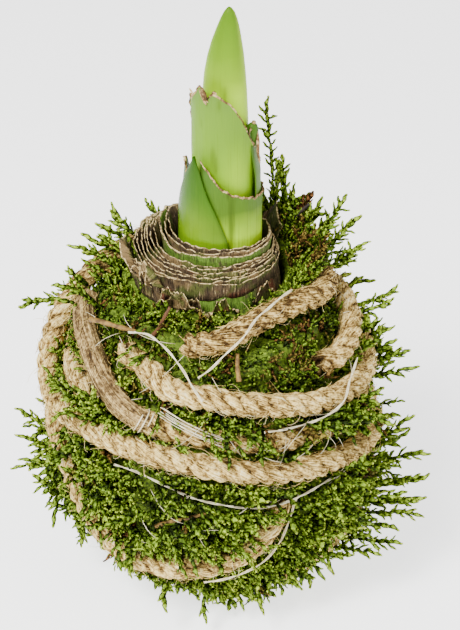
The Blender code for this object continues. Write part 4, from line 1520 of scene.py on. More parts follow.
@dataclass
class Sprout:
    """The tall leaf, the cut leaf bases and the small pointed leaf."""

    bases: list[LeafBase] = field(default_factory=lambda: [
        LeafBase(
            "leaf_main_sheath", (-194, 162), centre=3.8, bright=(-62, 26, 168), torn=0.22, columns=110,
            rows=46, rim=[
                (-196, 169), (-180, 178.5), (-172, 180.2), (-162, 179.3), (-149, 181.6), (-137, 184.8),
                (-132, 184.6), (-125, 180.0), (-117, 181.4), (-107, 183.2), (-95, 181.7), (-75, 179),
                (-55, 173.4), (-35, 166.4), (-10, 160.2), (20, 156.5), (60, 158), (110, 163), (164, 169),
            ],
            reach=[(112, 10.2), (180, 10.3)],
            curls=(
                Curl((
                    (-2.9, -6.7, 184.3, 0.3), (-2.2, -7.4, 182.4, 0.75), (-1.4, -7.9, 180.6, 0.5),
                    (-0.9, -8.1, 179.6, 0.2),
                ), -0.6),
                Curl((
                    (-3.7, -6.3, 183.4, 0.2), (-2.9, -7.1, 181.6, 0.4), (-2.0, -7.9, 179.8, 0.4),
                    (-1.3, -8.3, 178.8, 0.2),
                ), 0.35),
                Curl(((0.2, -8.6, 183.0, 0.15), (1.0, -8.7, 183.3, 0.5), (1.9, -8.8, 182.7, 0.2)), 0.35),
                Curl(((-6.9, -1.2, 181.6, 0.15), (-6.3, -1.9, 180.9, 0.35), (-5.5, -2.6, 180.0, 0.2)), 0.35),
            ),
            marks=((-109, 161, 5, 3.6), (-103, 158, 4, 3.0), (-97, 179, 3, 2.2), (-133, 172, 1.5, 1.2)),
        ),
        LeafBase(
            "leaf_right_sheath", (-31, 80), centre=4.0, torn=0.4,
            rim=[
                (-33, 165), (-28, 169), (-22, 168.6), (-14, 163.5), (-4, 158.5), (8, 155), (20, 153),
                (45, 151), (82, 149),
            ],
            reach=[(112, 11.7), (146, 12.2), (153, 12.0), (160, 10.7), (170, 8.9)],
            curls=(
                Curl((
                    (12.4, -1.0, 156.0, 1.2), (12.8, -1.4, 163.0, 2.1), (13.1, -1.4, 167.4, 2.15),
                    (13.5, -1.4, 169.9, 1.3),
                ), 5.0),
                Curl(((13.5, -1.6, 169.5, 0.8), (13.8, -1.5, 170.6, 0.6)), 0.75),
                Curl((
                    (14.9, -2.2, 167.4, 0.25), (15.0, -3.2, 164.0, 0.6), (15.0, -4.0, 160.5, 0.5),
                    (15.6, -4.4, 157.0, 0.3),
                ), -0.6),
            ),
        ),
        LeafBase(
            "leaf_left_sheath", (130, 212), centre=3.5,
            rim=[(128, 146), (150, 152), (165, 156), (182, 157.5), (196, 155.5), (214, 150)],
            reach=[(112, 12.9), (148, 12.9), (158, 11.9)],
        ),
        LeafBase(
            "leaf_front_sheath", (-122, 22), centre=3.5, bright=(-66, 13, 134), torn=0.45, columns=90,
            rim=[
                (-126, 160.4), (-119, 160), (-112, 157.4), (-104, 154.6), (-92, 151.4), (-76, 149),
                (-58, 147.2), (-34, 146.2), (-6, 146), (24, 147),
            ],
            reach=[(112, 13.1), (160, 13.1)],
            marks=((-119, 158.5, 4, 2.6), (-82, 148.6, 2.2, 1.3), (-77, 138, 4, 12)),
        ),
    ])
    tall: LeafFinish = LeafFinish(
        "leaf_tall_green", foot=(0.2, 0.355, 0.0002), body=(0.125, 0.255, 0.0004), top=(0.07, 0.17, 0.004),
        pale_edge=(0.27, 0.44, 0.001), veins=0.16, torn=False,
    )
    pale: LeafFinish = LeafFinish(
        "pale_sheath", foot=(0.085, 0.2, 0.001), body=(0.16, 0.32, 0.003), top=(0.09, 0.18, 0.024),
        pale_edge=(0.27, 0.47, 0.002), roughness=0.5,
    )
    green: LeafFinish = LeafFinish(
        "leaf_cut_green", foot=(0.3, 0.52, 0.001), body=(0.06, 0.135, 0.006), top=(0.04, 0.11, 0.014),
        pale_edge=(0.28, 0.48, 0.002), roughness=0.45,
    )
    young: LeafFinish = LeafFinish(
        "leaf_pointed_green", foot=(0.066, 0.145, 0.0005), body=(0.032, 0.11, 0.0005),
        top=(0.013, 0.062, 0.002), pale_edge=(0.16, 0.29, 0.0005), veins=0.25, roughness=0.26, torn=False,
    )

    def build(self) -> None:
        """Makes the leaves and their finishes."""
        TallLeaf().build(self.tall.build())
        looks = {"leaf_main_sheath": (self.pale.build(), Slot.SHEATH)}
        fresh = (self.green.build(), Slot.LEAF)
        for base in self.bases:
            base.build(*looks.get(base.node, fresh))
        PointedLeaf().build(self.young.build())


# Moss


@dataclass
class Branchlet:
    """One kind of moss branch, standing along +Z: leaves lie close round a bent stem up to a dark tip."""

    length: float = 5.0
    rings: int = 4
    radius: float = 1.0
    bend: float = 0.3
    sides: int = 3

    def build(self) -> Shape:
        """The branchlet's closed body.

        Returns:
            The body, with a tip value that rises along it.
        """
        share = np.linspace(0.0, 0.92, self.rings)
        place = share * self.length
        profile = np.interp(share, [0.0, 0.2, 0.45, 0.7, 0.92], [0.55, 0.9, 0.95, 0.88, 0.62])
        bumpy = 1.0 + 0.1 * (-1.0) ** np.arange(self.rings)
        spin = np.radians(60.0) * np.arange(self.rings)[:, None]
        angle = spin + np.arange(self.sides) * math.tau / self.sides
        middle = np.stack([0 * place, self.bend * place**2 / self.length, place], 1)
        out = np.stack([np.cos(angle), np.sin(angle), 0 * angle], -1)
        rings = middle[:, None] + out * (self.radius * profile * bumpy)[:, None, None]
        ends = np.array([[0.0, 0.0, -0.3], [0.0, self.bend * self.length, self.length]])
        shape = Shape()
        # tip is low at the foot, which the finish paints dark as shade, and high at the far end
        shape.capped(rings, ends, tip=(np.repeat(0.1 + 0.95 * share, self.sides), (0.0, 1.4)))
        return shape


@dataclass
class Sprigs(Rows):
    """Curved stems that carry branchlets."""

    root: Array
    ahead: Array
    bend: Array
    length: Array
    size: Array
    tone: Array
    dry: Array

    def at(self, share: Array) -> Array:
        """Points on every stem.

        Args:
            share: How far along, one row of values for each stem.

        Returns:
            The points.
        """
        share = np.asarray(share)[..., None]
        reach = self.length[:, None, None]
        return self.root[:, None] + reach * (self.ahead[:, None] * share + self.bend[:, None] * share**2)


@dataclass
class MossCover:
    """The ball's moss: an uneven core and thousands of leafy branchlets that leave room for the ropes."""

    ropes: Near
    threads: Near
    upper: int = 1350
    lower: int = 1420
    creeping: int = 200
    mound: int = 460
    seed: int = 11
    clear: float = 4.3
    thread_clear: float = 1.8
    neck_room: float = 25.3
    tip_room: float = 25.0
    shortest: float = 3.2
    columns: int = 112
    rows: int = 70
    pieces: int = 5
    kinds: list[Branchlet] = field(default_factory=lambda: [
        Branchlet(5.2, 4, 0.82, 0.1), Branchlet(5.8, 4, 0.76, 0.26), Branchlet(4.8, 4, 0.9, 0.36),
        Branchlet(6.4, 4, 0.74, 0.2), Branchlet(5.2, 4, 0.94, 0.3), Branchlet(4.2, 4, 0.84, 0.05),
    ])

    def thin(self, degrees: Array, height: Array) -> Array:
        """How much thinner the moss is: low down at the left and front, and beside the ropes at the left.

        Args:
            degrees: Azimuth.
            height: Height over the floor.

        Returns:
            0 where it has its full depth and up to 1 where it is thin.
        """
        low = (1.0 - eased(height, 14.0, 66.0)) * (0.5 - 0.5 * np.cos(np.radians(degrees - 25.0))) ** 0.6
        left = hump(degrees % 360.0, 180.0, 28.0)
        return np.maximum(low, 0.85 * left * eased(height, 56.0, 64.0) * (1.0 - eased(height, 101.0, 107.0)))

    def swell(self, degrees: Array, height: Array) -> Array:
        """How far the moss cushions rise between the ropes.

        Args:
            degrees: Azimuth.
            height: Height over the floor.

        Returns:
            The rise.
        """
        near = self.ropes.distance(BALL.point(degrees, height))
        rise = 4.2 * eased(near, 6.0, 12.5) * (1.0 - 0.6 * self.thin(degrees, height))
        left = degrees % 360.0
        rise = rise + 4.0 * hump(left, 177.0, 19.0) * hump(height, 94.0, 16.0)
        under = 1.6 * hump(left, 190.0, 10.0) * hump(height, 90.0, 12.0)
        rise = rise + under * eased(near, 4.6, 7.0)
        rise = rise * np.clip((height - 3.0) / 14.0, 0.0, 1.0) * np.clip((114.0 - height) / 8.0, 0.0, 1.0)
        return rise + 0.9 * ripple(np.radians(degrees) * 3, height * 0.1, 4.0) * eased(near, 5.0, 10.0)

    def core(self, material: Material) -> None:
        """The body under the sprigs.

        Args:
            material: Its finish.
        """
        share = np.linspace(0.0, 1.0, self.rows)
        height = 0.6 + 112.4 * (0.5 - 0.5 * np.cos(math.pi * share)) ** 0.9
        degrees = np.linspace(-180.0, 180.0, self.columns, endpoint=False)
        tall = np.repeat(height[:, None], self.columns, 1)
        turn = np.broadcast_to(degrees, tall.shape)
        bumps = 1.0 * ripple(np.radians(turn) * 17, tall * 0.55, 8.0)
        bumps = bumps + 0.6 * ripple(np.radians(turn) * 41, tall * 1.3, 3.0)
        lift = self.swell(turn, tall) - 2.2 + bumps * eased(tall, 3, 10)
        points = BALL.point(turn, tall)
        radial = unit(points * [1, 1, 0])[-1]
        points = points + BALL.normal(points) * lift[..., None] * np.clip(tall / 8.0, 0.0, 1.0)[..., None]
        points[..., 2] = np.maximum(points[..., 2], 0.3)
        rise = on_outline(COLLAR_RISE, degrees)
        mouth = ((29.2, 0.6), (27.3, 0.8), (25.9, 0.65), (25.1, 0.2), (24.8, -0.4))
        rings = [(spread, NECK_SHIFT, 112.8 + (rise - 0.8) * up) for spread, up in mouth]
        rings += [(spread, 0.0, z) for spread, z in ((27.0, 98.0), (33.0, 84.0), (38.0, 70.0))]
        inner = []
        for spread, shift, z in rings:
            ring = radial * spread + np.array([shift, 0.0, 0.0])
            ring[:, 2] = z
            inner.append(ring)
        shape = Shape()
        ends = np.array([[0.0, 0.0, 0.3], [0.0, 0.0, 66.0]])
        shape.capped(np.concatenate([points, np.stack(inner)]), ends, tip=0.42, tone=0.42, dry=0.06)
        rode(shape.made("moss_core", material), Slot.MOSS, "moss_wrap")

    def stems(self) -> Sprigs:
        """The stems all over the ball.

        Returns:
            The stems.
        """
        rng = np.random.default_rng(self.seed)
        high, low = rng.uniform(76.0, 113.0, self.upper * 2), rng.uniform(2.0, 80.0, self.lower * 2)
        height = np.concatenate([high, low])
        degrees = rng.uniform(-180.0, 180.0, len(height))
        near = self.ropes.distance(BALL.point(degrees, height))
        keep = (rng.uniform(0, 1, len(height)) < BALL.radius(height) / BALL.half_width) & (near > 4.2)
        height, degrees, near = height[keep], degrees[keep], near[keep]
        count = len(height)
        base = BALL.point(degrees, height)
        out = BALL.normal(base)
        root = base + out * (self.swell(degrees, height) - 2.6)[:, None]
        upper = eased(height, 80, 98)
        turn = np.radians(degrees)
        around = np.stack([-np.sin(turn), np.cos(turn), 0 * turn], -1)
        swirl = 2.2 * ripple(turn * 1.6, height * 0.035, 6.0) + rng.normal(0, 0.9, count)
        slant = spoke(around, np.cross(out, around), swirl)
        lay = (1.05 + 0.3 * upper + rng.normal(0, 0.4, count)).clip(0.1, 2.4) * eased(near, 2.0, 10.0)
        thin = self.thin(degrees, height)
        long = rng.uniform(0, 1, count) < 0.12 * (1.0 - upper) * (1.0 - thin)
        lay = (np.where(long, 0.6 * lay, lay) + 0.7 * thin)[:, None]
        ahead = unit(out + slant * lay)
        bend = 0.28 * slant + rng.normal(0, 0.16, (count, 3)) - out * (0.1 + 0.25 * upper)[:, None]
        bend[:, 2] -= 0.1 * (1.0 - upper)
        length = rng.uniform(10.0, 20.0, count) * (1.0 - 0.55 * upper)
        length = length * (1.0 + 0.3 * long) * (1.0 - 0.42 * thin)
        tone = 0.52 + 0.22 * ripple(turn * 2.1, height * 0.06, 2.0) + rng.normal(0, 0.13, count)
        tone = tone - 0.2 * upper + 0.1 * eased(height, 60, 30) + 0.12 * long
        bark = hump(degrees, -128, 16) * hump(height, 105, 6)
        rust = hump(degrees, -55, 16) * hump(height, 98, 8)
        dry = rng.uniform(0, 1, count) < 0.03 + 0.12 * upper + 0.45 * rust + 0.3 * bark
        dry = dry * rng.uniform(0.5, 1.0, count)
        size = rng.uniform(0.88, 1.2, count) * (1.0 - 0.28 * upper)
        return Sprigs(root, ahead, bend, length, size, tone, dry)

    def collar(self) -> Sprigs:
        """The stems of the mound behind the neck.

        Returns:
            The stems.
        """
        rng = np.random.default_rng(self.seed + 1)
        count = self.mound
        behind = rng.uniform(0, 1, count) < 0.5
        degrees = np.where(behind, rng.uniform(-30.0, 80.0, count), rng.uniform(-180.0, 180.0, count))
        rise = on_outline(COLLAR_RISE, degrees)
        spread = rng.uniform(25.2, 34.0, count)
        height = 109.0 + (1.5 + rise) * rng.uniform(0.1, 0.9, count) * eased(spread, 38.0, 27.0)
        turn = np.radians(degrees)
        radial = np.stack([np.cos(turn), np.sin(turn), 0 * turn], -1)
        root = radial * spread[:, None] + np.array([0.0, 0.0, 1.0]) * height[:, None]
        ahead = radial * rng.uniform(0.05, 1.2, (count, 1)) + [0, 0, 1.0] + rng.normal(0, 0.3, (count, 3))
        ahead = unit(ahead)
        bend = rng.normal(0, 0.2, (count, 3))
        tone = 0.5 + rng.normal(0, 0.16, count)
        dry = (rng.uniform(0, 1, count) < 0.12) * 0.8
        length = rng.uniform(5.0, 9.0, count) * (1.0 + 0.13 * rise * hump(degrees, 28, 40))
        return Sprigs(root, ahead, bend, length, rng.uniform(0.75, 1.0, count), tone, dry)

    def creepers(self) -> Sprigs:
        """The stems that grow up beside a rope and lean over it, most of them low down.

        Returns:
            The stems.
        """
        rng = np.random.default_rng(self.seed + 5)
        cloud = self.ropes.cloud
        middle = cloud[rng.integers(2, len(cloud) - 2, self.creeping * 6)]
        degrees = np.degrees(np.arctan2(middle[:, 1], middle[:, 0]))
        left = (np.abs(degrees) > 150) & (middle[:, 2] > 95)
        right = (np.abs(degrees + 5) < 25) & (middle[:, 2] > 75)
        chance = np.where(middle[:, 2] < 45, 1.0, np.where(right, 0.4, np.where(left, 0.04, 0.1)))
        chosen = np.flatnonzero(rng.uniform(0, 1, len(middle)) < chance)[: self.creeping]
        middle, degrees = middle[chosen], degrees[chosen]
        count = len(middle)
        out = BALL.normal(middle)
        side = unit(np.cross(out, rng.normal(0, 1, (count, 3))))
        root = middle + side * rng.uniform(4.9, 6.2, (count, 1)) - out * rng.uniform(0.5, 3.0, (count, 1))
        ahead = unit(out - side * rng.uniform(0.35, 0.75, (count, 1)))
        bend = -0.33 * out - side * 0.15 + rng.normal(0, 0.08, (count, 3))
        tone = 0.66 + rng.normal(0, 0.14, count)
        length = rng.uniform(9.0, 14.5, count) * (1.0 - 0.25 * self.thin(degrees, middle[:, 2]))
        return Sprigs(root, ahead, bend, length, rng.uniform(0.85, 1.1, count), tone, np.zeros(count))

    def off_neck(self, points: Array, radius: float) -> Array:
        """Which points are outside the neck's room, or under it."""
        from_neck = np.linalg.norm(points[..., :2] - [NECK_SHIFT, 0.0], axis=-1)
        return (from_neck > radius) | (points[..., 2] < NECK_FOOT)

    def cut_short(self, stems: Sprigs) -> Sprigs:
        """Ends the stems before they meet a rope, the neck or the floor.

        Args:
            stems: The stems.

        Returns:
            Those with enough length left.
        """
        steps = 10
        places = np.linspace(1.0 / steps, 1.0, steps)
        points = stems.at(np.broadcast_to(places, (len(stems.root), steps)))
        free = self.ropes.distance(points) > self.clear
        free &= self.off_neck(points, self.neck_room) & (points[..., 2] > 1.0)
        reach = np.cumprod(free, axis=1).sum(1) / steps
        stems.bend = stems.bend * reach[:, None]
        stems.length = stems.length * reach
        return stems.chosen(stems.length > self.shortest)

    def leafy(self, stems: Sprigs, seed: int, spacing: float = 2.0) -> Placing:
        """Sets branchlets along stems: a chain on each stem and one at either side in turn.

        Args:
            stems: The stems.
            seed: Seeds the small changes.
            spacing: The distance between side branchlets.

        Returns:
            Where the branchlets go.
        """
        rng = np.random.default_rng(self.seed + seed)
        placed = None
        plane = unit(np.cross(stems.ahead, rng.normal(0, 1, stems.ahead.shape)))
        for number in range(int(stems.length.max() / spacing)):
            share = number * spacing / stems.length
            for chain in (True, False):
                keep = share < (0.84 if chain else 0.8)
                if not keep.any() or (chain and number % 2) or (not chain and not number):
                    continue
                some, n = stems.chosen(keep), int(keep.sum())
                part = share[keep]
                here = some.at(part[:, None])[:, 0]
                ahead = unit(some.ahead + 2.0 * some.bend * part[:, None])
                left = some.length * (1.0 - part)
                if chain:
                    direction = ahead + rng.normal(0, 0.08, (n, 3))
                    size = np.clip(left / 4.2, 0.55, 1.2) * some.size
                else:
                    fan = (-1.0) ** number * rng.uniform(0.55, 1.1, (n, 1))
                    direction = ahead + plane[keep] * fan + rng.normal(0, 0.14, (n, 3))
                    size = np.minimum(0.42 + left / 15.0, 1.0) * some.size * rng.uniform(0.6, 1.0, n)
                # Branchlets near a stem's root, deep in the moss, get a lower tone: painted shade
                depth = np.clip(0.2 + 0.85 * part, 0.0, 1.0)
                tone = np.clip(some.tone * (0.3 + 0.95 * depth) + rng.normal(0, 0.08, n), 0.0, 1.2)
                direction = unit(direction)
                face = unit(np.cross(direction, rng.normal(0, 1, (n, 3))))
                kind = rng.integers(0, len(self.kinds), n)
                more = Placing(here, direction, face, size, tone, some.dry, kind)
                placed = placed.joined(more) if placed else more
        tips = placed.root + placed.ahead * (5.0 * placed.size)[:, None]
        middles = placed.root + placed.ahead * (2.8 * placed.size)[:, None]
        free = (self.ropes.distance(tips) > self.clear) & (self.ropes.distance(middles) > self.clear - 0.2)
        free &= self.off_neck(tips, self.tip_room)
        free &= self.threads.distance(tips) > self.thread_clear
        free &= self.threads.distance(middles) > self.thread_clear - 0.3
        free &= (tips[:, 2] > 2.1) & (placed.root[:, 2] > 2.0)
        return placed.chosen(free)

    def long_shoots(self) -> Placing:
        """The long feathery shoots that stand off the ball.

        Returns:
            Where their branchlets go.
        """
        ends = np.array(LONG_SHOOTS, float)
        root = BALL.point(ends[:, 0], ends[:, 1])
        span = ends[:, 2:] - root
        length = np.linalg.norm(span, axis=1)
        bow = 0.18 * BALL.normal(root)
        number = np.arange(len(root))
        brown = number >= len(root) - BROWN_SHOOTS
        size = np.where(brown | (number == 0), 0.9, 1.05)
        tone = np.where(brown, 0.2, 0.7)
        ahead = span / length[:, None] + bow
        return self.leafy(Sprigs(root, ahead, -bow, length, size, tone, 1.0 * brown), 7, 1.7)

    def build(self) -> None:
        """Makes the core and the branchlets."""
        finish = MossFinish().build()
        self.core(finish)
        scatter = Scatter("moss", [kind.build() for kind in self.kinds])
        scatter.prepare()
        rode(scatter.piece("moss_shoots", self.long_shoots(), finish), Slot.MOSS, "moss_wrap")
        placing = self.leafy(self.cut_short(self.stems()), 3)
        placing = placing.joined(self.leafy(self.cut_short(self.collar()), 4))
        placing = placing.joined(self.leafy(self.cut_short(self.creepers()), 5))
        LOG.info("branchlets: %d", len(placing.root))
        order = np.argsort(np.arctan2(placing.root[:, 1], placing.root[:, 0]))
        for number, chosen in enumerate(np.array_split(order, self.pieces)):
            piece = scatter.piece(f"moss_sprigs_{number + 1}", placing.chosen(chosen), finish)
            rode(piece, Slot.MOSS, "moss_wrap")
        scatter.clear()


# Ropes, threads and small dry things


@dataclass
class JuteRope:
    """A laid rope of three strands along a route, with loose fibres."""

    node: str
    route: Route
    lay: float = 15.5
    worn: float = 0.0
    offset: float = 1.75
    strand: float = 2.25
    step: float = 0.8
    sides: int = 10
    smooth: float = 0.0
    smooth_radius: float = 3.7
    smooth_sides: int = 28
    tie_radius: float = 4.05
    tie_thickness: float = 0.24

    def line(self) -> Array:
        """The rope's middle line."""
        return route_line(self.route, self.step)

    def from_end(self, line: Array) -> tuple[Array, Array]:
        """How far points of a line are along it, and from the nearer of its ends."""
        along = np.arange(len(line)) * self.step
        return along, np.minimum(along, along[-1] - along)

    def fibres(self, rows: int, seed: int) -> Array:
        """Uneven fibres along a strand.

        Args:
            rows: How many rings the strand has.
            seed: Seeds the pattern.

        Returns:
            A height for each ring and side, mostly between -2 and 2.
        """
        rng = np.random.default_rng(seed + len(self.route))
        rough = rng.normal(0, 1, (rows + 3, self.sides))
        rough = sum(rough[i : i + rows] for i in range(3)) / 1.7
        return rough * 0.8 + 0.2 * np.roll(rough, 1, axis=1)

    def strands(self, shape: Shape, line: Array, phase: float) -> None:
        """The three twisted strands.

        Args:
            shape: The shape that takes them.
            line: Points along the rope.
            phase: Where the twist starts.
        """
        _, side, up = carried_frame(line)
        along, end = self.from_end(line)
        loose = 1.0 - eased(end, 0.0, 6.0)
        angle = np.linspace(0.0, math.tau, self.sides, endpoint=False)
        fixed = angle + 0.18 * along[:, None]
        for strand in range(3):
            reach = self.offset * (1.0 + 0.45 * loose) + 0.12 * np.sin(along * 0.9 + strand)
            out = spoke(side, up, math.tau * (along / self.lay + strand / 3) + phase)
            path = line + out * reach[:, None]
            _, across, over = carried_frame(path, out[0])
            fat = self.strand * (1.0 + 0.05 * np.sin(along * 1.7 + 2 * strand)) * (1.0 - 0.35 * loose)
            fibre = self.fibres(len(line), strand)
            ring = spoke(across[:, None], over[:, None], angle)
            points = path[:, None] + ring * (fat[:, None] + 0.2 * fibre)[..., None]
            # crest rises with the distance from the rope's middle: painted highlight on the strands, painted
            # shade in the grooves
            crest = np.linalg.norm(points - line[:, None], axis=-1) / (self.offset + self.strand)
            crest = 0.36 + 0.66 * np.clip((crest - 0.56) / 0.4, 0.0, 1.1) + 0.07 * fibre
            # Darker near the top of the ball: painted shade
            crest = crest - self.worn * eased(line[:, 2], 96.0, 106.0)[:, None]
            far = np.repeat(along[:, None], self.sides, 1) + 30 * strand
            grain = np.stack([far, np.cos(fixed) * 2.4, np.sin(fixed) * 2.4], -1)
            shape.capped(points, path[[0, -1]], crest=(crest, (0.8, 0.8)), grain=grain)

    def bundle(self, shape: Shape, line: Array) -> None:
        """The untwisted stretch, a smooth bundle of long fibres.

        Args:
            shape: The shape that takes it.
            line: Points along it.
        """
        _, side, up = carried_frame(line)
        along, end = self.from_end(line)
        turn = np.linspace(0.0, math.tau, self.smooth_sides, endpoint=False)
        far = np.repeat(along[:, None], len(turn), 1)
        lump = 0.13 * np.sin(5 * turn + 0.08 * far) + 0.12 * np.sin(12 * turn - 0.05 * far)
        fat = self.smooth_radius - 0.9 * (1.0 - eased(end, 0.0, 3.0))
        points = line[:, None] + spoke(side[:, None], up[:, None], turn) * (fat[:, None] + lump)[..., None]
        grain = np.stack([far * 0.4, 4 * np.cos(turn) + 0 * far, 4 * np.sin(turn) + 0 * far], -1)
        # crest follows the lumps: painted highlight on them, painted shade between them
        shape.capped(points, line[[0, -1]], crest=(0.84 + 0.7 * lump, (0.7, 0.7)), grain=grain)

    def tie(self, line: Array, at: int) -> Array:
        """The middle line of the thread that ties the smooth stretch.

        Args:
            line: Points along the rope.
            at: The point where it is tied.

        Returns:
            Two slanting turns.
        """
        ahead, side, up = (axis[at] for axis in carried_frame(line))
        turn = np.linspace(0.0, 2.1 * math.tau, 60)
        slant = (0.25 * turn + 0.8 * np.cos(turn))[:, None]
        return line[at] + self.tie_radius * spoke(side, up, turn) + ahead * slant

    def build(self, jute: Material, weathered: Material, cream: Material) -> None:
        """Makes the rope.

        Args:
            jute: The laid rope's finish.
            weathered: The finish of the smooth stretch.
            cream: The finish of the thread tied round it.
        """
        line = self.line()
        cut = int(self.smooth / self.step)
        if cut:
            start = Shape()
            self.bundle(start, line[: cut + 3])
            rode(start.made("rope_smooth_dressed", weathered), Slot.OLD_JUTE, "rope_smooth_stretch")
            knot = Shape()
            knot.tube(self.tie(line, cut - 4), self.tie_thickness, 6)
            rode(knot.made(f"{self.node}_tie", cream), Slot.THREAD)
        shape = Shape()
        self.strands(shape, line[cut:], 0.7 * len(line))
        rode(shape.made(f"{self.node}_laid", jute), Slot.JUTE, self.node)


@dataclass
class RopeHairs:
    """Short fibres that lie on the ropes and long loose ones that hang from them."""

    lines: list[Array]
    step: float
    lying: float = 1.8
    loose: float = 1.5
    lying_root: float = 3.98
    loose_root: float = 3.5
    kinds: int = 3
    seed: int = 5

    def kind(self, number: int, long: bool) -> Shape:
        """One kind of fibre, standing along +Z.

        Args:
            number: Its number.
            long: Whether it is a long curled one.

        Returns:
            The fibre.
        """
        t = np.linspace(0.0, 1.0, 5 if long else 3)
        bend = 1.2 + 1.1 * number if long else 0.25 + 0.2 * number
        reach, thick, glow = (7.5, 0.075, 1.25) if long else (3.4, 0.15, 0.92)
        aside = 0.9 * np.sin(3 * t + (number + 3)) if long else 0.3 * t
        line = np.stack([bend * t**2, aside, reach * t - bend * t**3], 1)
        shape = Shape()
        shape.tube(line, thick * (1.0 - 0.5 * t), 3, crest=glow + 0.12 * number)
        return shape

    def along(self, line: Array, long: bool, rng: np.random.Generator) -> Placing:
        """The fibres on one rope.

        Args:
            line: Points along the rope.
            long: Whether they are the long loose ones.
            rng: Gives the random numbers.

        Returns:
            Where they go.
        """
        ahead, side, up = carried_frame(line)
        count = int(len(line) * self.step * (self.loose if long else self.lying))
        at = rng.integers(2, len(line) - 2, count)
        ahead = ahead[at]
        out = spoke(side[at], up[at], rng.uniform(0, math.tau, count))
        sign = rng.choice([-1.0, 1.0], count)[:, None]
        if long:
            way = out * rng.uniform(0.1, 0.9, (count, 1)) + sign * ahead * rng.uniform(0.2, 1.6, (count, 1))
            way = way + rng.normal(0, 0.3, (count, 3)) - [0.0, 0.0, 0.35]
        else:
            way = sign * (ahead + np.cross(ahead, out) * rng.normal(0.55, 0.4, (count, 1)))
            way = way - out * rng.uniform(-0.04, 0.14, (count, 1))
        face = unit(np.cross(way, -out if long else out) + rng.normal(0, 0.2, (count, 3)))
        kind = rng.integers(0, self.kinds, count) + self.kinds * long
        size = rng.uniform(0.45, 1.1, count) if long else rng.uniform(0.5, 1.2, count)
        root = line[at] + out * (self.loose_root if long else self.lying_root)
        return Placing(root, unit(way), face, size, np.zeros(count), np.zeros(count), kind)

    def build(self, material: Material, nodes: list[str]) -> None:
        """Makes the piece.

        Args:
            material: Its finish.
            nodes: The CAD nodes that it belongs to.
        """
        rng = np.random.default_rng(self.seed)
        parts = [self.along(line, long, rng) for line in self.lines for long in (False, True)]
        placing = functools.reduce(Placing.joined, parts)
        low = placing.root[:, 2] + np.minimum(placing.ahead[:, 2], 0.0) * 8.5 * placing.size
        kinds = [self.kind(number, long) for long in (False, True) for number in range(self.kinds)]
        scatter = Scatter("hairs", kinds)
        scatter.prepare()
        rode(scatter.piece("rope_hairs", placing.chosen(low > 0.6), material), Slot.JUTE, *nodes)
        scatter.clear()


@dataclass
class Thread:
    """A thin thread of twisted strands along a route."""

    node: str
    route: Route
    strands: int = 2
    fine: float = 0.2
    apart: float = 0.22
    step: float = 0.8
    turning: float = 0.35
    sides: int = 7

    def build(self, material: Material) -> None:
        """Makes the thread.

        Args:
            material: Its finish.
        """
        line = route_line(self.route, self.step)
        _, side, up = carried_frame(line)
        twist = np.arange(len(line)) * self.step * self.turning
        shape = Shape()
        for strand in range(self.strands):
            out = spoke(side, up, twist + strand * math.tau / self.strands)
            shape.tube(line + out * self.apart, self.fine, self.sides)
        rode(shape.made(f"{self.node}_dressed", material), Slot.THREAD, self.node)


@dataclass
class StrayFibres:
    """Single pale fibres that lie in arcs over the moss, and a flat strap of them by the outer rope."""

    count: int = 110
    strap_fibres: int = 9
    seed: int = 21
    strap: tuple[tuple[float, float], ...] = (
        (-108.0, 88.6), (-102.0, 86.4), (-96.0, 84.2), (-90.0, 82.0), (-86.0, 80.6),
    )

    def build(self, material: Material) -> None:
        """Makes the piece.

        Args:
            material: Its finish.
        """
        rng = np.random.default_rng(self.seed)
        shape = Shape()
        t = np.linspace(0.0, 1.0, 9)
        for _ in range(self.count):
            height, degrees = rng.uniform(26.0, 110.0), rng.uniform(-180.0, 180.0)
            reach = rng.uniform(8.0, 22.0)
            slope, bow = rng.uniform(-1.2, 1.2), rng.normal(0.0, 0.35)
            turn = degrees + np.degrees(reach * np.cos(slope) * t / BALL.radius(np.array([height])))
            tall = height + reach * (np.sin(slope) * t + bow * t * (1.0 - t))
            line = BALL.point(turn, tall)
            over = 4.5 + 2.5 * np.sin(math.pi * t) * rng.uniform(0.3, 1.4) - 3.0 * t**4
            line = line + BALL.normal(line) * over[:, None]
            shape.tube(line, rng.uniform(0.08, 0.13), 3)
        turns, heights = np.array(self.strap).T
        for number in range(self.strap_fibres):
            offset = 0.34 * number - 1.3 + rng.normal(0.0, 0.15)
            offset = offset + rng.normal(0.0, 0.3) * np.linspace(-1.0, 1.0, len(turns))
            line = BALL.point(turns + rng.normal(0.0, 1.0), heights + offset)
            line = line + BALL.normal(line) * (5.4 + rng.uniform(0.0, 0.7))
            shape.tube(smooth_line(line, 1.0), 0.11, 4)
        rode(shape.made("stray_fibres", material), Slot.THREAD)


@dataclass
class DryPiece:
    """A dry stalk, root, twig or strip of bark."""

    node: str
    radius: float
    slot: Slot
    step: float = 0.6
    sides: int = 12

    def build(self, material: Material) -> None:
        """Makes the piece.

        Args:
            material: Its finish.
        """
        line = route_line(DEBRIS_ROUTES[self.node], self.step)
        along = np.linspace(0.0, 1.0, len(line))[:, None]
        turn = np.linspace(0.0, math.tau, self.sides, endpoint=False)
        knob = 1.0 + 0.12 * np.sin(along * 19) + 0.08 * np.sin(5 * turn + 9 * along)
        shape = Shape()
        shape.tube(line, self.radius * knob * (1.0 - 0.25 * along), self.sides)
        rode(shape.made(f"{self.node}_dressed", material), self.slot, self.node)


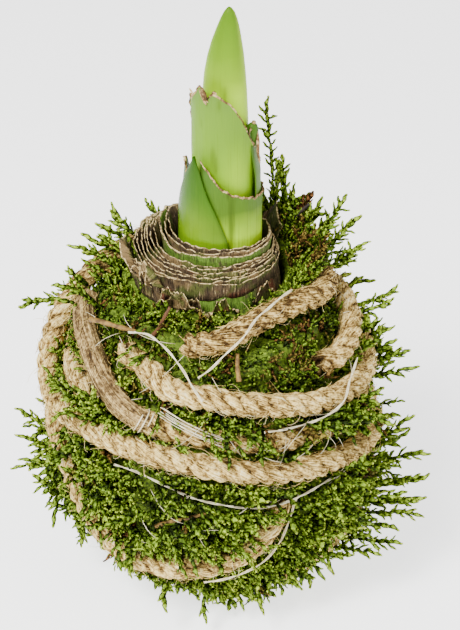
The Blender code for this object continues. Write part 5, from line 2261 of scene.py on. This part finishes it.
def bindings(cream: Material) -> list[Array]:
    """Builds the ropes and their hairs.

    Args:
        cream: The threads' finish.

    Returns:
        Points along the middle of each rope.
    """
    jute = JuteFinish("jute").build()
    weathered = JuteFinish(
        "weathered_jute", groove=(0.05, 0.03, 0.014), dull=(0.14, 0.085, 0.034), body=(0.33, 0.22, 0.085),
        crest=(0.74, 0.53, 0.21), pale=(0.82, 0.64, 0.31), fibre=0.8,
    ).build()
    changes = {"rope_outer_turn": {"worn": 0.2}, "rope_side_run": {"smooth": SMOOTH_LENGTH}}
    ropes = [JuteRope(node, route, **changes.get(node, {})) for node, route in ROPE_ROUTES.items()]
    for rope in ropes:
        rope.build(jute, weathered, cream)
    lines = [rope.line() for rope in ropes]
    RopeHairs(lines, ropes[0].step).build(jute, list(ROPE_ROUTES))
    return lines


def debris() -> None:
    """Builds the dry stalks, root, bark and twig."""
    finishes = {
        Slot.STALK: PlainFinish("dry_stalk", (0.27, 0.155, 0.025), (0.09, 0.045, 0.008)).build(),
        Slot.BRACT: PlainFinish("red_bract", (0.12, 0.042, 0.008), (0.04, 0.014, 0.004)).build(),
        Slot.TWIG: PlainFinish("dark_twig", (0.05, 0.03, 0.02), (0.015, 0.01, 0.008)).build(),
    }
    for piece in (
        DryPiece("dry_stalk_low", 0.7, Slot.STALK), DryPiece("dry_stalk_stub", 0.8, Slot.STALK),
        DryPiece("dry_root_curl", 0.7, Slot.BRACT), DryPiece("bark_strip_upper", 0.9, Slot.STALK),
        DryPiece("dark_twig", 0.9, Slot.TWIG),
    ):
        piece.build(finishes[piece.slot])


def main() -> None:
    """Builds the whole dressed bulb in order."""
    logging.basicConfig(level=logging.INFO, format="%(message)s", stream=sys.stdout)
    Studio().build()
    cream = PlainFinish("cream_thread", (0.9, 0.83, 0.58), (0.66, 0.56, 0.34), 0.35).build()
    lines = bindings(cream)
    covered = [route_line(route, 1.5) for route in (*THREAD_ROUTES.values(), DEBRIS_ROUTES["dry_stalk_low"])]
    over = [line + (BALL.normal(line) + [0.0, 0.0, 0.45]) * out for line in covered for out in OVER_THREADS]
    MossCover(Near(lines), Near(over)).build()
    StrayFibres().build(cream)
    skin = SkinFinish().build()
    BulbNeck().build(skin)
    SkinFlakes().build(skin)
    Sprout().build()
    for node, route in THREAD_ROUTES.items():
        Thread(node, route).build(cream)
    debris()


if __name__ == "__main__":
    main()
